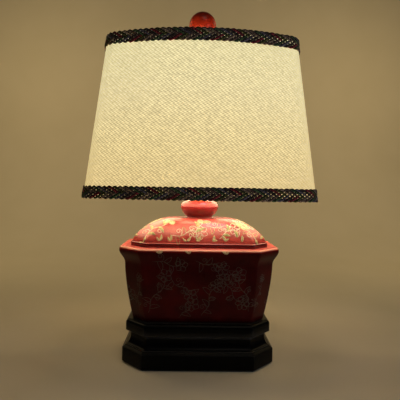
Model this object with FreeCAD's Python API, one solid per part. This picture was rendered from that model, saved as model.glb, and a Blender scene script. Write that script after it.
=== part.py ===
import FreeCAD, Part
import math
import os

# A table lamp 562 mm tall. A lidded porcelain jar with cut corners stands on a black
# wooden plinth, and a threaded pipe clamps the two together and carries the socket,
# the harp, the shade and the ball finial.
# Millimetres. +Z is up, the long side faces -Y, and the origin is the middle of the
# underside. Every plan outline of the plinth, jar and lid is a rectangle with its four
# corners cut at 45 degrees, set in evenly from the outline above or below it.

# Plinth
PLINTH_WIDTH = 236.0
PLINTH_DEPTH = 148.0
PLINTH_CUT = 34.0
FELT_THICKNESS = 2.0
FELT_INSET = 2.5
LOWER_HEIGHT = 22.0
LOWER_BEVEL = 3.6
COVE_FOOT_INSET = 4.6
COVE_STEP = 1.0
COVE_DEPTH = 8.2
COVE_RISE = 15.0
WAIST_HEIGHT = 6.4
UPPER_INSET = 5.3
UPPER_HEIGHT = 12.0
SHOULDER_RADIUS = 6.0
RECESS_WIDTH = 92.0
RECESS_DEPTH = 68.0
RECESS_HEIGHT = 14.0
CORD_HOLE_RADIUS = 5.0
CORD_HOLE_HEIGHT = 12.5

# Grommet in the cord hole
GROMMET_BORE_RADIUS = 3.6
GROMMET_FLANGE_RADIUS = 7.5
GROMMET_FLANGE = 1.8
GROMMET_LENGTH = 12.0

# Jar. Insets are measured in from the outline of the rim.
JAR_HEIGHT = 114.6
RIM_WIDTH = 248.6
RIM_DEPTH = 154.4
RIM_CUT = 34.5
JAR_EDGE_ROUND = 5.0
JAR_INNER_ROUND = 3.0
JAR_FOOT_INSET = 21.7
JAR_NECK_INSET = 8.8
JAR_BELLY_POWER = 1.5
JAR_FLARE_POWER = 1.2
FLARE_HEIGHT = 22.5
LIP_HEIGHT = 5.8
LIP_INSET = 3.6
JAR_WALL = 6.0
JAR_FLOOR = 8.0
LEDGE_THICKNESS = 9.0
LID_SEAT_INSET = 17.3
MOUTH_OVERLAP = 7.0

# Lid and its knob
LID_BAND = 6.3
LID_RISE = 42.7
LID_WALL = 6.0
LID_TOP_SHARE = 0.44
LID_SIDE_POWER = 1.6
LID_CROWN_POWER = 1.55
LID_CORE_SHARE = 0.55
SKIRT_CLEARANCE = 1.5
SKIRT_WALL = 4.0
SKIRT_DEPTH = 8.0
KNOB_NECK_RADIUS = 20.0
KNOB_RADIUS = 31.0
KNOB_FLAT_RADIUS = 13.0
KNOB_NECK_SINK = 3.0
KNOB_WIDEST = 17.0
KNOB_HEIGHT = 28.2
KNOB_UNDER_BULGE = (0.66, 0.30)
KNOB_OVER_BULGE = (0.78, 0.66)

# Threaded pipe and what it clamps
PIPE_RADIUS = 5.1
PIPE_BORE = 3.2
PIPE_CLEARANCE = 0.65
PIPE_PROUD = 0.4
PIPE_INTO_SOCKET = 10.0
THREAD_CLEARANCE = 0.05
BOTTOM_WASHER_RADIUS = 19.0
WASHER_THICKNESS = 1.6
NUT_ACROSS_FLATS = 17.0
NUT_THICKNESS = 5.0
CUSHION_RADIUS = 11.5
CUSHION_THICKNESS = 1.0
CHECK_RADIUS = 13.0
CHECK_THICKNESS = 2.0
NECK_RADIUS = 9.5
NECK_WALL = 0.9
NECK_LENGTH = 8.5
TOP_NUT_ACROSS_FLATS = 14.0
TOP_NUT_THICKNESS = 4.0

# Harp and its saddle
SADDLE_THICKNESS = 2.0
SADDLE_WIDTH = 14.0
SADDLE_MARGIN = 1.0
HARP_WIRE_RADIUS = 2.0
HARP_FOOT_HALF = 29.0
HARP_JOINT_RISE = 13.0
HARP_LEG_STRAIGHT = 21.0
HARP_HALF_WIDTH = 57.0
HARP_WIDEST_RISE = 120.0
HARP_HEIGHT = 212.4
HARP_CORNER_RADIUS = 18.0
HARP_TOP_FLAT = 9.0
HARP_CONCAVE_SHARE = 0.35
FERRULE_RADIUS = 3.6
FERRULE_LENGTH = 15.0
FERRULE_BORE_CLEARANCE = 0.07
FERRULE_SEAT_GAP = 0.3
SEAT_BODY_RADIUS = 5.6
SEAT_BODY_BELOW = 4.2
SEAT_FLANGE_RADIUS = 9.0
SEAT_FLANGE_RISE = 4.6
SEAT_FLANGE_THICKNESS = 1.6
SEAT_BOSS_RADIUS = 5.4
SEAT_BOSS_HEIGHT = 1.1
STUD_RADIUS = 3.17
STUD_LENGTH = 13.0

# Socket
CAP_HUB_RADIUS = 8.0
CAP_HUB_STRAIGHT = 5.0
CAP_HUB_HEIGHT = 9.0
CAP_SHOULDER = 12.0
CAP_SHOULDER_ROUND = 1.5
CAP_RADIUS = 17.4
CAP_HEIGHT = 24.0
CAP_WALL = 0.9
SHELL_RADIUS = 16.4
SHELL_WALL = 0.7
SHELL_HEIGHT = 46.0
SHELL_LAP = 7.0
SHELL_BEAD_RADIUS = 1.1
SLEEVE_WALL = 0.9
SLEEVE_CLEARANCE = 0.15
SLEEVE_FOOT_GAP = 1.0
BODY_CLEARANCE = 0.2
BODY_HEIGHT = 15.0
BODY_RISE = 13.0
SCREW_SHELL_CLEARANCE = 0.35
SCREW_SHELL_WALL = 0.5
SCREW_SHELL_SHORT = 2.0
CONTACT_WIDTH = 7.0
CONTACT_THICKNESS = 0.8
CONTACT_RISE = 2.6
CONTACT_GAP = 0.02
TERMINAL_HEAD_RADIUS = 3.0
TERMINAL_CLEARANCE = 0.4
TERMINAL_HEAD = 1.6
TERMINAL_SHANK_RADIUS = 1.6
TERMINAL_SHANK = 3.0
TERMINAL_SINK = 0.5
SET_SCREW_RADIUS = 1.5
SET_SCREW_LENGTH = 6.0
SET_SCREW_RISE = 2.6
SWITCH_SHAFT_RADIUS = 1.8
SWITCH_SHAFT_SINK = 6.0
SWITCH_SHAFT_SHARE = 0.6
SWITCH_KNOB_RADIUS = 5.5
SWITCH_KNOB_END_RADIUS = 4.4
SWITCH_HUB_LENGTH = 9.0
SWITCH_KNOB_LENGTH = 13.0
SWITCH_KNOB_GAP = 4.0
SWITCH_WING_WIDTH = 3.2
SWITCH_WING_LENGTH = 9.0
SWITCH_WING_SPAN = 17.0
SWITCH_WING_ROUND = 2.5
SWITCH_CLEARANCE = 0.06
SWITCH_SLOT_CLEARANCE = 0.8
SWITCH_RISE = 7.0

# Bulb
BULB_RADIUS = 30.0
BULB_LENGTH = 108.0
BULB_SHOULDER_ANGLE = 32.0
BULB_CROWN_ANGLE = 11.0
BULB_FLARE_BULGE = (0.30, 0.52)
BULB_CAP_RADIUS = 13.0
BULB_CAP_HEIGHT = 23.0
BULB_CAP_WALL = 0.6
BULB_CAP_TAPER = (1.2, 2.5, 4.5)
BULB_TIP_RADIUS = 4.8
BULB_TIP_HEIGHT = 2.4
BULB_SOLDER_HEIGHT = 1.0
BULB_INSULATOR_RADIUS = 9.0
BULB_INSULATOR = 3.0
BULB_GLASS_WALL = 0.8
BULB_NECK_RADIUS = 12.2
BULB_NECK_SINK = 2.0
BULB_NECK_LENGTH = 9.0
BULB_CONTACT_SHARE = 0.6
FILAMENT_RADIUS = 0.8
FILAMENT_HALF = 9.0
STEM_RADIUS = 3.4
STEM_TOP_RADIUS = 1.7
STEM_HEIGHT = 44.0

# Shade: bowed long and short sides with rounded corners, tapering upward. Each row is
# half width, half depth, radius of the long side, radius of the short side, corner.
SHADE_BOTTOM_PLAN = (183.0, 106.0, 470.0, 262.0, 32.0)
SHADE_TOP_PLAN = (149.5, 89.0, 357.0, 222.0, 26.0)
SHADE_HEIGHT = 244.5
SPIDER_DROP = 15.1
FABRIC_THICKNESS = 0.9
LINER_THICKNESS = 0.5
BRAID_WIDTH = 17.4
BRAID_THICKNESS = 2.2
BRAID_LIP = 0.6
RING_WIRE_RADIUS = 1.6
RING_SEAT = 0.05
RING_EDGE_GAP = 1.0
SPIDER_WASHER_RADIUS = 12.0
SPIDER_WASHER_THICKNESS = 1.5
SPIDER_HOLE_CLEARANCE = 0.08
SPIDER_ARM_RADIUS = 1.6
SPIDER_ARM_LAP = 2.5
SPIDER_ARM_SINK = 0.6
SPIDER_BEND_SHARE = 0.9

# Finial
BALL_DIAMETER = 44.0
FINIAL_STEM_LENGTH = 31.5
FINIAL_FOOT_RADIUS = 8.5
FINIAL_WAIST_RADIUS = 4.9
FINIAL_CUP_RADIUS = 9.5
FINIAL_FOOT_HEIGHT = 6.0
FINIAL_CUP_EDGE = 2.5
STUD_END_GAP = 0.6
FINIAL_SPIGOT_RADIUS = 4.0
FINIAL_SPIGOT_LENGTH = 12.0
SPIGOT_CLEARANCE = 0.05
BALL_SEAT_MARGIN = 0.5

# Screws that hold the plinth's two halves
SCREW_RADIUS = 2.2
SCREW_TIP_RADIUS = 0.4
SCREW_TIP_LENGTH = 4.4
SCREW_HEAD_RADIUS = 4.4
SCREW_HEAD_HEIGHT = 2.6
SCREW_INTO_TOP = 8.0
SCREW_EDGE = 36.0
SCREW_CLEARANCE = 0.05

# Sections in each moulded curve and in the lid's dome
CURVE_STEPS = 6
DOME_STEPS = 8

UP = FreeCAD.Vector(0, 0, 1)
TAN_EIGHTH = math.tan(math.radians(22.5))


def vec(x, y, z):
    return FreeCAD.Vector(x, y, z)


# Levels that follow from the sizes above
LOWER_FACE_TOP = FELT_THICKNESS + LOWER_HEIGHT
BEVEL_TOP = LOWER_FACE_TOP + LOWER_BEVEL
COVE_TOP = BEVEL_TOP + COVE_STEP + COVE_RISE
WAIST_TOP = COVE_TOP + WAIST_HEIGHT
UPPER_FACE_TOP = WAIST_TOP + UPPER_HEIGHT
JAR_SEAT = UPPER_FACE_TOP + SHOULDER_RADIUS
MOUTH_INSET = LID_SEAT_INSET + MOUTH_OVERLAP
JAR_TOP = JAR_SEAT + JAR_HEIGHT
LID_TOP = JAR_TOP + LID_RISE
KNOB_TOP = LID_TOP + KNOB_HEIGHT
CUSHION_TOP = KNOB_TOP + CUSHION_THICKNESS
CHECK_TOP = CUSHION_TOP + CHECK_THICKNESS
NECK_TOP = CHECK_TOP + NECK_LENGTH
SADDLE_TOP = NECK_TOP + SADDLE_THICKNESS
CAP_TOP = SADDLE_TOP + CAP_HEIGHT
SHELL_BOTTOM = CAP_TOP - SHELL_LAP
SHELL_TOP = SHELL_BOTTOM + SHELL_HEIGHT
BODY_BOTTOM = SADDLE_TOP + BODY_RISE
BODY_TOP = BODY_BOTTOM + BODY_HEIGHT
BULB_TIP = BODY_TOP + CONTACT_RISE + CONTACT_THICKNESS
BULB_CAP_BOTTOM = BULB_TIP + BULB_TIP_HEIGHT
BULB_CAP_TOP = BULB_CAP_BOTTOM + BULB_CAP_HEIGHT
BULB_TOP = BULB_TIP + BULB_LENGTH
HARP_JOINT = SADDLE_TOP + HARP_JOINT_RISE
HARP_LEG_TOP = HARP_JOINT + HARP_LEG_STRAIGHT
HARP_WIDEST = SADDLE_TOP + HARP_WIDEST_RISE
HARP_TOP = SADDLE_TOP + HARP_HEIGHT
SEAT_FLANGE_BOTTOM = HARP_TOP + SEAT_FLANGE_RISE
SEAT_TOP = SEAT_FLANGE_BOTTOM + SEAT_FLANGE_THICKNESS
WASHER_TOP = SEAT_TOP + SPIDER_WASHER_THICKNESS
SHADE_TOP_HEIGHT = SEAT_TOP + SPIDER_DROP
SHADE_BOTTOM_HEIGHT = SHADE_TOP_HEIGHT - SHADE_HEIGHT
FINIAL_CUP_TOP = WASHER_TOP + FINIAL_STEM_LENGTH
RECESS_TOP = FELT_THICKNESS + RECESS_HEIGHT


def save(name, shape):
    # Writes one sub-part and says what it holds.
    if not shape.isValid():
        raise ValueError(name + " is not a valid shape")
    shape.exportStep("parts/" + name + ".step")
    box = shape.optimalBoundingBox(True, False)
    spans = "x %.1f %.1f  y %.1f %.1f  z %.1f %.1f" % (
        box.XMin, box.XMax, box.YMin, box.YMax, box.ZMin, box.ZMax)
    print("%-20s solids %d  volume %10.1f  %s" % (name, len(shape.Solids), shape.Volume, spans))


def cylinder(radius, z0, z1, x=0.0, y=0.0):
    return Part.makeCylinder(radius, z1 - z0, vec(x, y, z0), UP)


def ring(outer, inner, z0, z1, x=0.0, y=0.0):
    return cylinder(outer, z0, z1, x, y).cut(cylinder(inner, z0, z1, x, y))


def revolve(edges):
    # Turns a closed outline drawn in the XZ plane about the Z axis.
    face = Part.Face(Part.Wire(edges))
    return face.revolve(vec(0, 0, 0), UP, 360)


def line(a, b):
    return Part.LineSegment(vec(a[0], 0, a[1]), vec(b[0], 0, b[1])).toShape()


def arc(a, mid, b):
    return Part.Arc(vec(a[0], 0, a[1]), vec(mid[0], 0, mid[1]), vec(b[0], 0, b[1])).toShape()


def polyline(points):
    # Closed run of straight edges through (radius, height) points.
    return [line(points[i], points[(i + 1) % len(points)]) for i in range(len(points))]


def hexagon(across_flats, z0, z1):
    corner = across_flats / math.sqrt(3)
    points = [vec(corner * math.cos(math.radians(60 * i)), corner * math.sin(math.radians(60 * i)), z0)
              for i in range(7)]
    return Part.Face(Part.makePolygon(points)).extrude(vec(0, 0, z1 - z0))


def cut_corner_points(width, depth, cut, inset, z):
    # The eight corners of a cut-corner outline, set in evenly by inset.
    hx = width / 2 - inset
    hy = depth / 2 - inset
    c = cut - inset * (1 - TAN_EIGHTH)
    return [vec(hx - c, -hy, z), vec(hx, c - hy, z), vec(hx, hy - c, z), vec(hx - c, hy, z),
            vec(c - hx, hy, z), vec(-hx, hy - c, z), vec(-hx, c - hy, z), vec(c - hx, -hy, z)]


def sharp_wire(points):
    return Part.makePolygon(points + points[:1])


def rounded_wire(points, radius):
    # The same outline with every corner turned into an arc.
    edges = []
    count = len(points)
    starts = []
    ends = []
    for i, corner in enumerate(points):
        before = points[i - 1].sub(corner).normalize()
        after = points[(i + 1) % count].sub(corner).normalize()
        setback = radius * TAN_EIGHTH
        start = corner.add(before * setback)
        end = corner.add(after * setback)
        bisector = before.add(after).normalize()
        centre_distance = radius / math.cos(math.radians(22.5))
        middle = corner.add(bisector * (centre_distance - radius))
        edges.append(Part.Arc(start, middle, end).toShape())
        starts.append(start)
        ends.append(end)
    for i in range(count):
        edges.append(Part.LineSegment(ends[i], starts[(i + 1) % count]).toShape())
    return Part.Wire(Part.__sortEdges__(edges))


def stack(wires):
    return Part.makeLoft(wires, True, True)


def quarter_round(x0, z0, x1, z1, bulge_out):
    # Points along a quarter ellipse from (inset, height) to (inset, height).
    points = []
    for i in range(CURVE_STEPS + 1):
        t = math.pi / 2 * i / CURVE_STEPS
        if bulge_out:
            points.append((x0 + (x1 - x0) * (1 - math.cos(t)), z0 + (z1 - z0) * math.sin(t)))
        else:
            points.append((x0 + (x1 - x0) * math.sin(t), z0 + (z1 - z0) * (1 - math.cos(t))))
    return points


def plinth_wire(inset, z):
    return sharp_wire(cut_corner_points(PLINTH_WIDTH, PLINTH_DEPTH, PLINTH_CUT, inset, z))


def felt_pad():
    wire = plinth_wire(FELT_INSET, 0)
    return Part.Face(wire).extrude(vec(0, 0, FELT_THICKNESS))


def screw_places():
    half_x = PLINTH_WIDTH / 2 - SCREW_EDGE
    half_y = PLINTH_DEPTH / 2 - SCREW_EDGE
    return [(x, y) for x in (-half_x, half_x) for y in (-half_y, half_y)]


def screw_solid(x, y, allowance):
    # Countersunk wood screw driven upward; the allowance widens it into its pilot hole.
    z0 = FELT_THICKNESS
    z1 = WAIST_TOP + SCREW_INTO_TOP - SCREW_TIP_LENGTH
    shank_radius = SCREW_RADIUS + allowance
    head = Part.makeCone(SCREW_HEAD_RADIUS + allowance, shank_radius, SCREW_HEAD_HEIGHT, vec(x, y, z0), UP)
    shank = cylinder(shank_radius, z0, z1, x, y)
    tip = Part.makeCone(shank_radius, SCREW_TIP_RADIUS + allowance, SCREW_TIP_LENGTH, vec(x, y, z1), UP)
    return head.fuse([shank, tip]).removeSplitter()


def plinth_base():
    # Lower tier with a bevelled edge, then a cove that rises to the narrow waist.
    waist_inset = COVE_FOOT_INSET + COVE_DEPTH
    profile = [(0.0, FELT_THICKNESS), (0.0, LOWER_FACE_TOP), (COVE_FOOT_INSET, BEVEL_TOP)]
    profile += quarter_round(COVE_FOOT_INSET, BEVEL_TOP + COVE_STEP, waist_inset, COVE_TOP, False)
    profile.append((waist_inset, WAIST_TOP))
    solid = stack([plinth_wire(inset, z) for inset, z in profile])
    recess = Part.makeBox(RECESS_WIDTH, RECESS_DEPTH, RECESS_HEIGHT,
                          vec(-RECESS_WIDTH / 2, -RECESS_DEPTH / 2, FELT_THICKNESS))
    bore = cylinder(PIPE_RADIUS + PIPE_CLEARANCE, FELT_THICKNESS, WAIST_TOP)
    cord = Part.makeCylinder(CORD_HOLE_RADIUS, PLINTH_DEPTH / 2, vec(0, 0, CORD_HOLE_HEIGHT), vec(0, 1, 0))
    holes = [screw_solid(x, y, SCREW_CLEARANCE) for x, y in screw_places()]
    return solid.cut([recess, bore, cord] + holes)


def plinth_top():
    # Upper tier, whose rounded shoulder carries the jar.
    profile = [(UPPER_INSET, WAIST_TOP)]
    profile += quarter_round(UPPER_INSET, UPPER_FACE_TOP, UPPER_INSET + SHOULDER_RADIUS, JAR_SEAT, True)
    solid = stack([plinth_wire(inset, z) for inset, z in profile])
    bore = cylinder(PIPE_RADIUS + PIPE_CLEARANCE, WAIST_TOP, JAR_SEAT)
    holes = [screw_solid(x, y, SCREW_CLEARANCE) for x, y in screw_places()]
    return solid.cut([bore] + holes)


def plinth_screws():
    return Part.makeCompound([screw_solid(x, y, 0.0) for x, y in screw_places()])


def cord_grommet():
    back = PLINTH_DEPTH / 2
    along = vec(0, 1, 0)
    barrel = Part.makeCylinder(CORD_HOLE_RADIUS - THREAD_CLEARANCE, GROMMET_LENGTH,
                               vec(0, back - GROMMET_LENGTH, CORD_HOLE_HEIGHT), along)
    flange = Part.makeCylinder(GROMMET_FLANGE_RADIUS, GROMMET_FLANGE, vec(0, back, CORD_HOLE_HEIGHT), along)
    bore = Part.makeCylinder(GROMMET_BORE_RADIUS, GROMMET_LENGTH + GROMMET_FLANGE,
                             vec(0, back - GROMMET_LENGTH, CORD_HOLE_HEIGHT), along)
    return barrel.fuse(flange).cut(bore)


def rim_wire(inset, z, radius=JAR_EDGE_ROUND):
    return rounded_wire(cut_corner_points(RIM_WIDTH, RIM_DEPTH, RIM_CUT, inset, z), radius)


def jar_inset(rise):
    # How far the jar's outer face stands in from the rim: belly, flare, then rounded lip.
    flare_start = JAR_HEIGHT - LIP_HEIGHT - FLARE_HEIGHT
    if rise <= flare_start:
        share = rise / flare_start
        return JAR_NECK_INSET + (JAR_FOOT_INSET - JAR_NECK_INSET) * (1 - share) ** JAR_BELLY_POWER
    if rise <= JAR_HEIGHT - LIP_HEIGHT:
        share = (rise - flare_start) / FLARE_HEIGHT
        return JAR_NECK_INSET * (0.5 + 0.5 * math.cos(math.pi * share ** JAR_FLARE_POWER))
    share = (rise - JAR_HEIGHT + LIP_HEIGHT) / LIP_HEIGHT
    return LIP_INSET * (1 - math.sqrt(1 - share ** 2))


def jar_rises():
    # Heights of the jar's sections, close together where it curves.
    flare_start = JAR_HEIGHT - LIP_HEIGHT - FLARE_HEIGHT
    steps = range(1, CURVE_STEPS + 1)
    belly = [0.0] + [flare_start * i / CURVE_STEPS for i in steps]
    flare = [flare_start + FLARE_HEIGHT * i / CURVE_STEPS for i in steps]
    lip = [JAR_HEIGHT - LIP_HEIGHT + LIP_HEIGHT * math.sin(math.pi / 2 * i / CURVE_STEPS) for i in steps]
    return belly + flare + lip


def jar():
    # Tapered body that flares into a broad flat rim; the lid sits on the rim's inner part.
    outer = stack([rim_wire(jar_inset(rise), JAR_SEAT + rise) for rise in jar_rises()])
    ledge_bottom = JAR_HEIGHT - LEDGE_THICKNESS
    wall_rises = [rise for rise in jar_rises() if JAR_FLOOR < rise < ledge_bottom - JAR_WALL]
    inner = [(jar_inset(JAR_FLOOR) + JAR_WALL, JAR_FLOOR)]
    inner += [(jar_inset(rise) + JAR_WALL, rise) for rise in wall_rises]
    inner += [(MOUTH_INSET, ledge_bottom), (MOUTH_INSET, JAR_HEIGHT)]
    hollow = stack([rim_wire(inset, JAR_SEAT + rise, JAR_INNER_ROUND) for inset, rise in inner])
    bore = cylinder(PIPE_RADIUS + PIPE_CLEARANCE, JAR_SEAT, JAR_SEAT + JAR_FLOOR)
    return outer.cut([hollow, bore])


def lid_wire(share, z, trim=0.0):
    # The lid's outline shrinks towards the middle in proportion as the dome rises.
    width = RIM_WIDTH - 2 * LID_SEAT_INSET
    depth = RIM_DEPTH - 2 * LID_SEAT_INSET
    cut = RIM_CUT - LID_SEAT_INSET * (1 - TAN_EIGHTH)
    points = cut_corner_points(width * share - 2 * trim, depth * share - 2 * trim, cut * share, 0.0, z)
    return rounded_wire(points, JAR_EDGE_ROUND * share)


def lid_profile():
    # The dome as (share of the lid's outline, height above the rim), from band to crown.
    points = []
    for i in range(DOME_STEPS + 1):
        t = math.pi / 2 * i / DOME_STEPS
        share = LID_TOP_SHARE + (1 - LID_TOP_SHARE) * math.cos(t) ** (2 / LID_SIDE_POWER)
        rise = LID_BAND + (LID_RISE - LID_BAND) * math.sin(t) ** (2 / LID_CROWN_POWER)
        points.append((share, rise))
    return points


def between(a, b, bulge):
    return (a[0] + bulge[0] * (b[0] - a[0]), a[1] + bulge[1] * (b[1] - a[1]))


def knob_outline():
    foot = (KNOB_NECK_RADIUS, LID_TOP - KNOB_NECK_SINK)
    neck = (KNOB_NECK_RADIUS, LID_TOP)
    widest = (KNOB_RADIUS, LID_TOP + KNOB_WIDEST)
    crown = (KNOB_FLAT_RADIUS, KNOB_TOP)
    under = between(neck, widest, KNOB_UNDER_BULGE)
    over = between(crown, widest, (KNOB_OVER_BULGE[0], 1 - KNOB_OVER_BULGE[1]))
    return [line((0, foot[1]), foot), line(foot, neck), arc(neck, under, widest), arc(widest, over, crown),
            line(crown, (0, KNOB_TOP)), line((0, KNOB_TOP), (0, foot[1]))]


def lid():
    # Domed lid with a skirt inside the jar's mouth, and the knob made in one with it.
    profile = lid_profile()
    dome = stack([lid_wire(1.0, JAR_TOP)] + [lid_wire(share, JAR_TOP + rise) for share, rise in profile])
    skirt_inset = MOUTH_INSET + SKIRT_CLEARANCE
    skirt_trim = skirt_inset + SKIRT_WALL - LID_SEAT_INSET
    inner = [lid_wire(1.0, JAR_TOP, skirt_trim), lid_wire(1.0, JAR_TOP + LID_BAND, LID_WALL)]
    inner += [lid_wire(share, JAR_TOP + rise - LID_WALL, LID_WALL) for share, rise in profile
              if rise > LID_BAND + 2 * LID_WALL and share > LID_CORE_SHARE]
    skirt_foot = JAR_TOP - SKIRT_DEPTH
    skirt = Part.Face(rim_wire(skirt_inset, skirt_foot, JAR_INNER_ROUND)).extrude(vec(0, 0, SKIRT_DEPTH))
    opening = Part.Face(rim_wire(skirt_inset + SKIRT_WALL, skirt_foot, JAR_INNER_ROUND))
    skirt = skirt.cut(opening.extrude(vec(0, 0, SKIRT_DEPTH)))
    bore = cylinder(PIPE_RADIUS + PIPE_CLEARANCE, JAR_TOP, KNOB_TOP)
    return dome.cut(stack(inner)).fuse([skirt, revolve(knob_outline())]).cut(bore)


def bottom_washer():
    bore = PIPE_RADIUS + THREAD_CLEARANCE
    return ring(BOTTOM_WASHER_RADIUS, bore, RECESS_TOP - WASHER_THICKNESS, RECESS_TOP)


def bottom_nut():
    top = RECESS_TOP - WASHER_THICKNESS
    return hexagon(NUT_ACROSS_FLATS, top - NUT_THICKNESS, top).cut(
        cylinder(PIPE_RADIUS + THREAD_CLEARANCE, top - NUT_THICKNESS, top))


def threaded_pipe():
    start = RECESS_TOP - WASHER_THICKNESS - NUT_THICKNESS - PIPE_PROUD
    return ring(PIPE_RADIUS, PIPE_BORE, start, SADDLE_TOP + PIPE_INTO_SOCKET)


def knob_cushion():
    return ring(CUSHION_RADIUS, PIPE_RADIUS + PIPE_CLEARANCE, KNOB_TOP, CUSHION_TOP)


def check_ring():
    # Turned brass disc with a rounded edge.
    edge = CHECK_THICKNESS / 2
    bore = PIPE_RADIUS + THREAD_CLEARANCE
    outline = [line((bore, CUSHION_TOP), (CHECK_RADIUS - edge, CUSHION_TOP)),
               arc((CHECK_RADIUS - edge, CUSHION_TOP), (CHECK_RADIUS, CUSHION_TOP + edge),
                   (CHECK_RADIUS - edge, CHECK_TOP)),
               line((CHECK_RADIUS - edge, CHECK_TOP), (bore, CHECK_TOP)),
               line((bore, CHECK_TOP), (bore, CUSHION_TOP))]
    return revolve(outline)


def top_lock_nut():
    z1 = CHECK_TOP + TOP_NUT_THICKNESS
    return hexagon(TOP_NUT_ACROSS_FLATS, CHECK_TOP, z1).cut(
        cylinder(PIPE_RADIUS + THREAD_CLEARANCE, CHECK_TOP, z1))


def neck():
    return ring(NECK_RADIUS, NECK_RADIUS - NECK_WALL, CHECK_TOP, NECK_TOP)


def saddle_pin_bottom():
    return HARP_JOINT - FERRULE_LENGTH / 2 - FERRULE_SEAT_GAP


def harp_saddle():
    # Brass strap on the pipe; its arms rise to the two pins that the harp stands on.
    half_flat = CAP_HUB_RADIUS + SADDLE_MARGIN
    reach = HARP_FOOT_HALF + HARP_WIRE_RADIUS
    arm_top = saddle_pin_bottom()
    half = [(0, NECK_TOP), (half_flat + SADDLE_THICKNESS, NECK_TOP), (reach, arm_top - SADDLE_THICKNESS),
            (reach, arm_top), (reach - 2 * HARP_WIRE_RADIUS, arm_top), (half_flat, SADDLE_TOP),
            (0, SADDLE_TOP)]
    right = [vec(x, -SADDLE_WIDTH / 2, z) for x, z in half]
    left = [vec(-x, -SADDLE_WIDTH / 2, z) for x, z in half]
    solids = []
    for points in (right, left):
        solids.append(Part.Face(Part.makePolygon(points + points[:1])).extrude(vec(0, SADDLE_WIDTH, 0)))
    for side in (-1, 1):
        foot = side * HARP_FOOT_HALF
        solids.append(cylinder(HARP_WIRE_RADIUS, arm_top - SADDLE_THICKNESS / 2, HARP_JOINT, foot))
    strap = solids[0].fuse(solids[1:]).removeSplitter()
    return strap.cut(cylinder(PIPE_RADIUS + THREAD_CLEARANCE, NECK_TOP, SADDLE_TOP))


def tangent_arc(start, heading, turn, radius):
    # Arc in the XZ plane; heading and turn are degrees from straight up, positive outward.
    # Returns the edge, its end and the heading there.
    sign = 1 if turn > 0 else -1
    h0 = math.radians(heading)
    h1 = math.radians(heading + turn)
    hm = (h0 + h1) / 2

    def at(h):
        dx = radius * sign * (math.cos(h0) - math.cos(h))
        dz = radius * sign * (math.sin(h) - math.sin(h0))
        return (start[0] + dx, start[1] + dz)

    end = at(h1)
    return arc(start, at(hm), end), end, heading + turn


def harp_side():
    # Right half of the harp's centre line, from its foot up to the middle of the top.
    foot = (HARP_FOOT_HALF, HARP_JOINT)
    leg_top = (HARP_FOOT_HALF, HARP_LEG_TOP)
    edges = [line(foot, leg_top)]
    out = HARP_HALF_WIDTH - HARP_FOOT_HALF
    rise = HARP_WIDEST - HARP_LEG_TOP
    lean = 2 * math.degrees(math.atan2(out, rise))
    radius_sum = rise / math.sin(math.radians(lean))
    concave = HARP_CONCAVE_SHARE * radius_sum
    edge, point, heading = tangent_arc(leg_top, 0.0, lean, concave)
    edges.append(edge)
    edge, point, heading = tangent_arc(point, heading, -lean, radius_sum - concave)
    edges.append(edge)
    across = point[0] - HARP_TOP_FLAT - HARP_CORNER_RADIUS
    up = HARP_TOP - point[1] - HARP_CORNER_RADIUS
    turn = 2 * math.degrees(math.atan2(across, up))
    upper = up / math.sin(math.radians(turn)) + HARP_CORNER_RADIUS
    edge, point, heading = tangent_arc(point, 0.0, -turn, upper)
    edges.append(edge)
    edge, point, heading = tangent_arc(point, heading, turn - 90.0, HARP_CORNER_RADIUS)
    edges.append(edge)
    edges.append(line(point, (0, point[1])))
    return edges


def harp_loop():
    # One bent wire, swept in two halves that meet under the seat.
    section = Part.Wire(Part.makeCircle(HARP_WIRE_RADIUS, vec(HARP_FOOT_HALF, 0, HARP_JOINT), UP))
    half = Part.Wire(harp_side()).makePipeShell([section], True, False)
    mirror = half.mirror(vec(0, 0, 0), vec(1, 0, 0))
    loop = half.fuse(mirror).removeSplitter()
    length = 2 * sum(edge.Length for edge in harp_side())
    print("harp volume against section times length: %.4f" % (
        loop.Volume / (math.pi * HARP_WIRE_RADIUS ** 2 * length)))
    return loop


def harp_ferrule(side):
    # Sleeve that locks the harp's foot to the saddle's pin; it slides up to free it.
    z0 = saddle_pin_bottom() + FERRULE_SEAT_GAP
    return ring(FERRULE_RADIUS, HARP_WIRE_RADIUS + FERRULE_BORE_CLEARANCE, z0, z0 + FERRULE_LENGTH,
                side * HARP_FOOT_HALF)


def harp_seat():
    # Turned clip round the top wire, with the flange the shade rests on and its stud.
    bottom = HARP_TOP - SEAT_BODY_BELOW
    boss_top = SEAT_TOP + SEAT_BOSS_HEIGHT
    body = cylinder(SEAT_BODY_RADIUS, bottom, SEAT_FLANGE_BOTTOM)
    flange = cylinder(SEAT_FLANGE_RADIUS, SEAT_FLANGE_BOTTOM, SEAT_TOP)
    boss = cylinder(SEAT_BOSS_RADIUS, SEAT_TOP, boss_top)
    stud = cylinder(STUD_RADIUS, boss_top, SEAT_TOP + STUD_LENGTH)
    hole = Part.makeCylinder(HARP_WIRE_RADIUS + THREAD_CLEARANCE, 4 * SEAT_BODY_RADIUS,
                             vec(-2 * SEAT_BODY_RADIUS, 0, HARP_TOP), vec(1, 0, 0))
    return body.fuse([flange, boss, stud]).removeSplitter().cut(hole)


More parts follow.
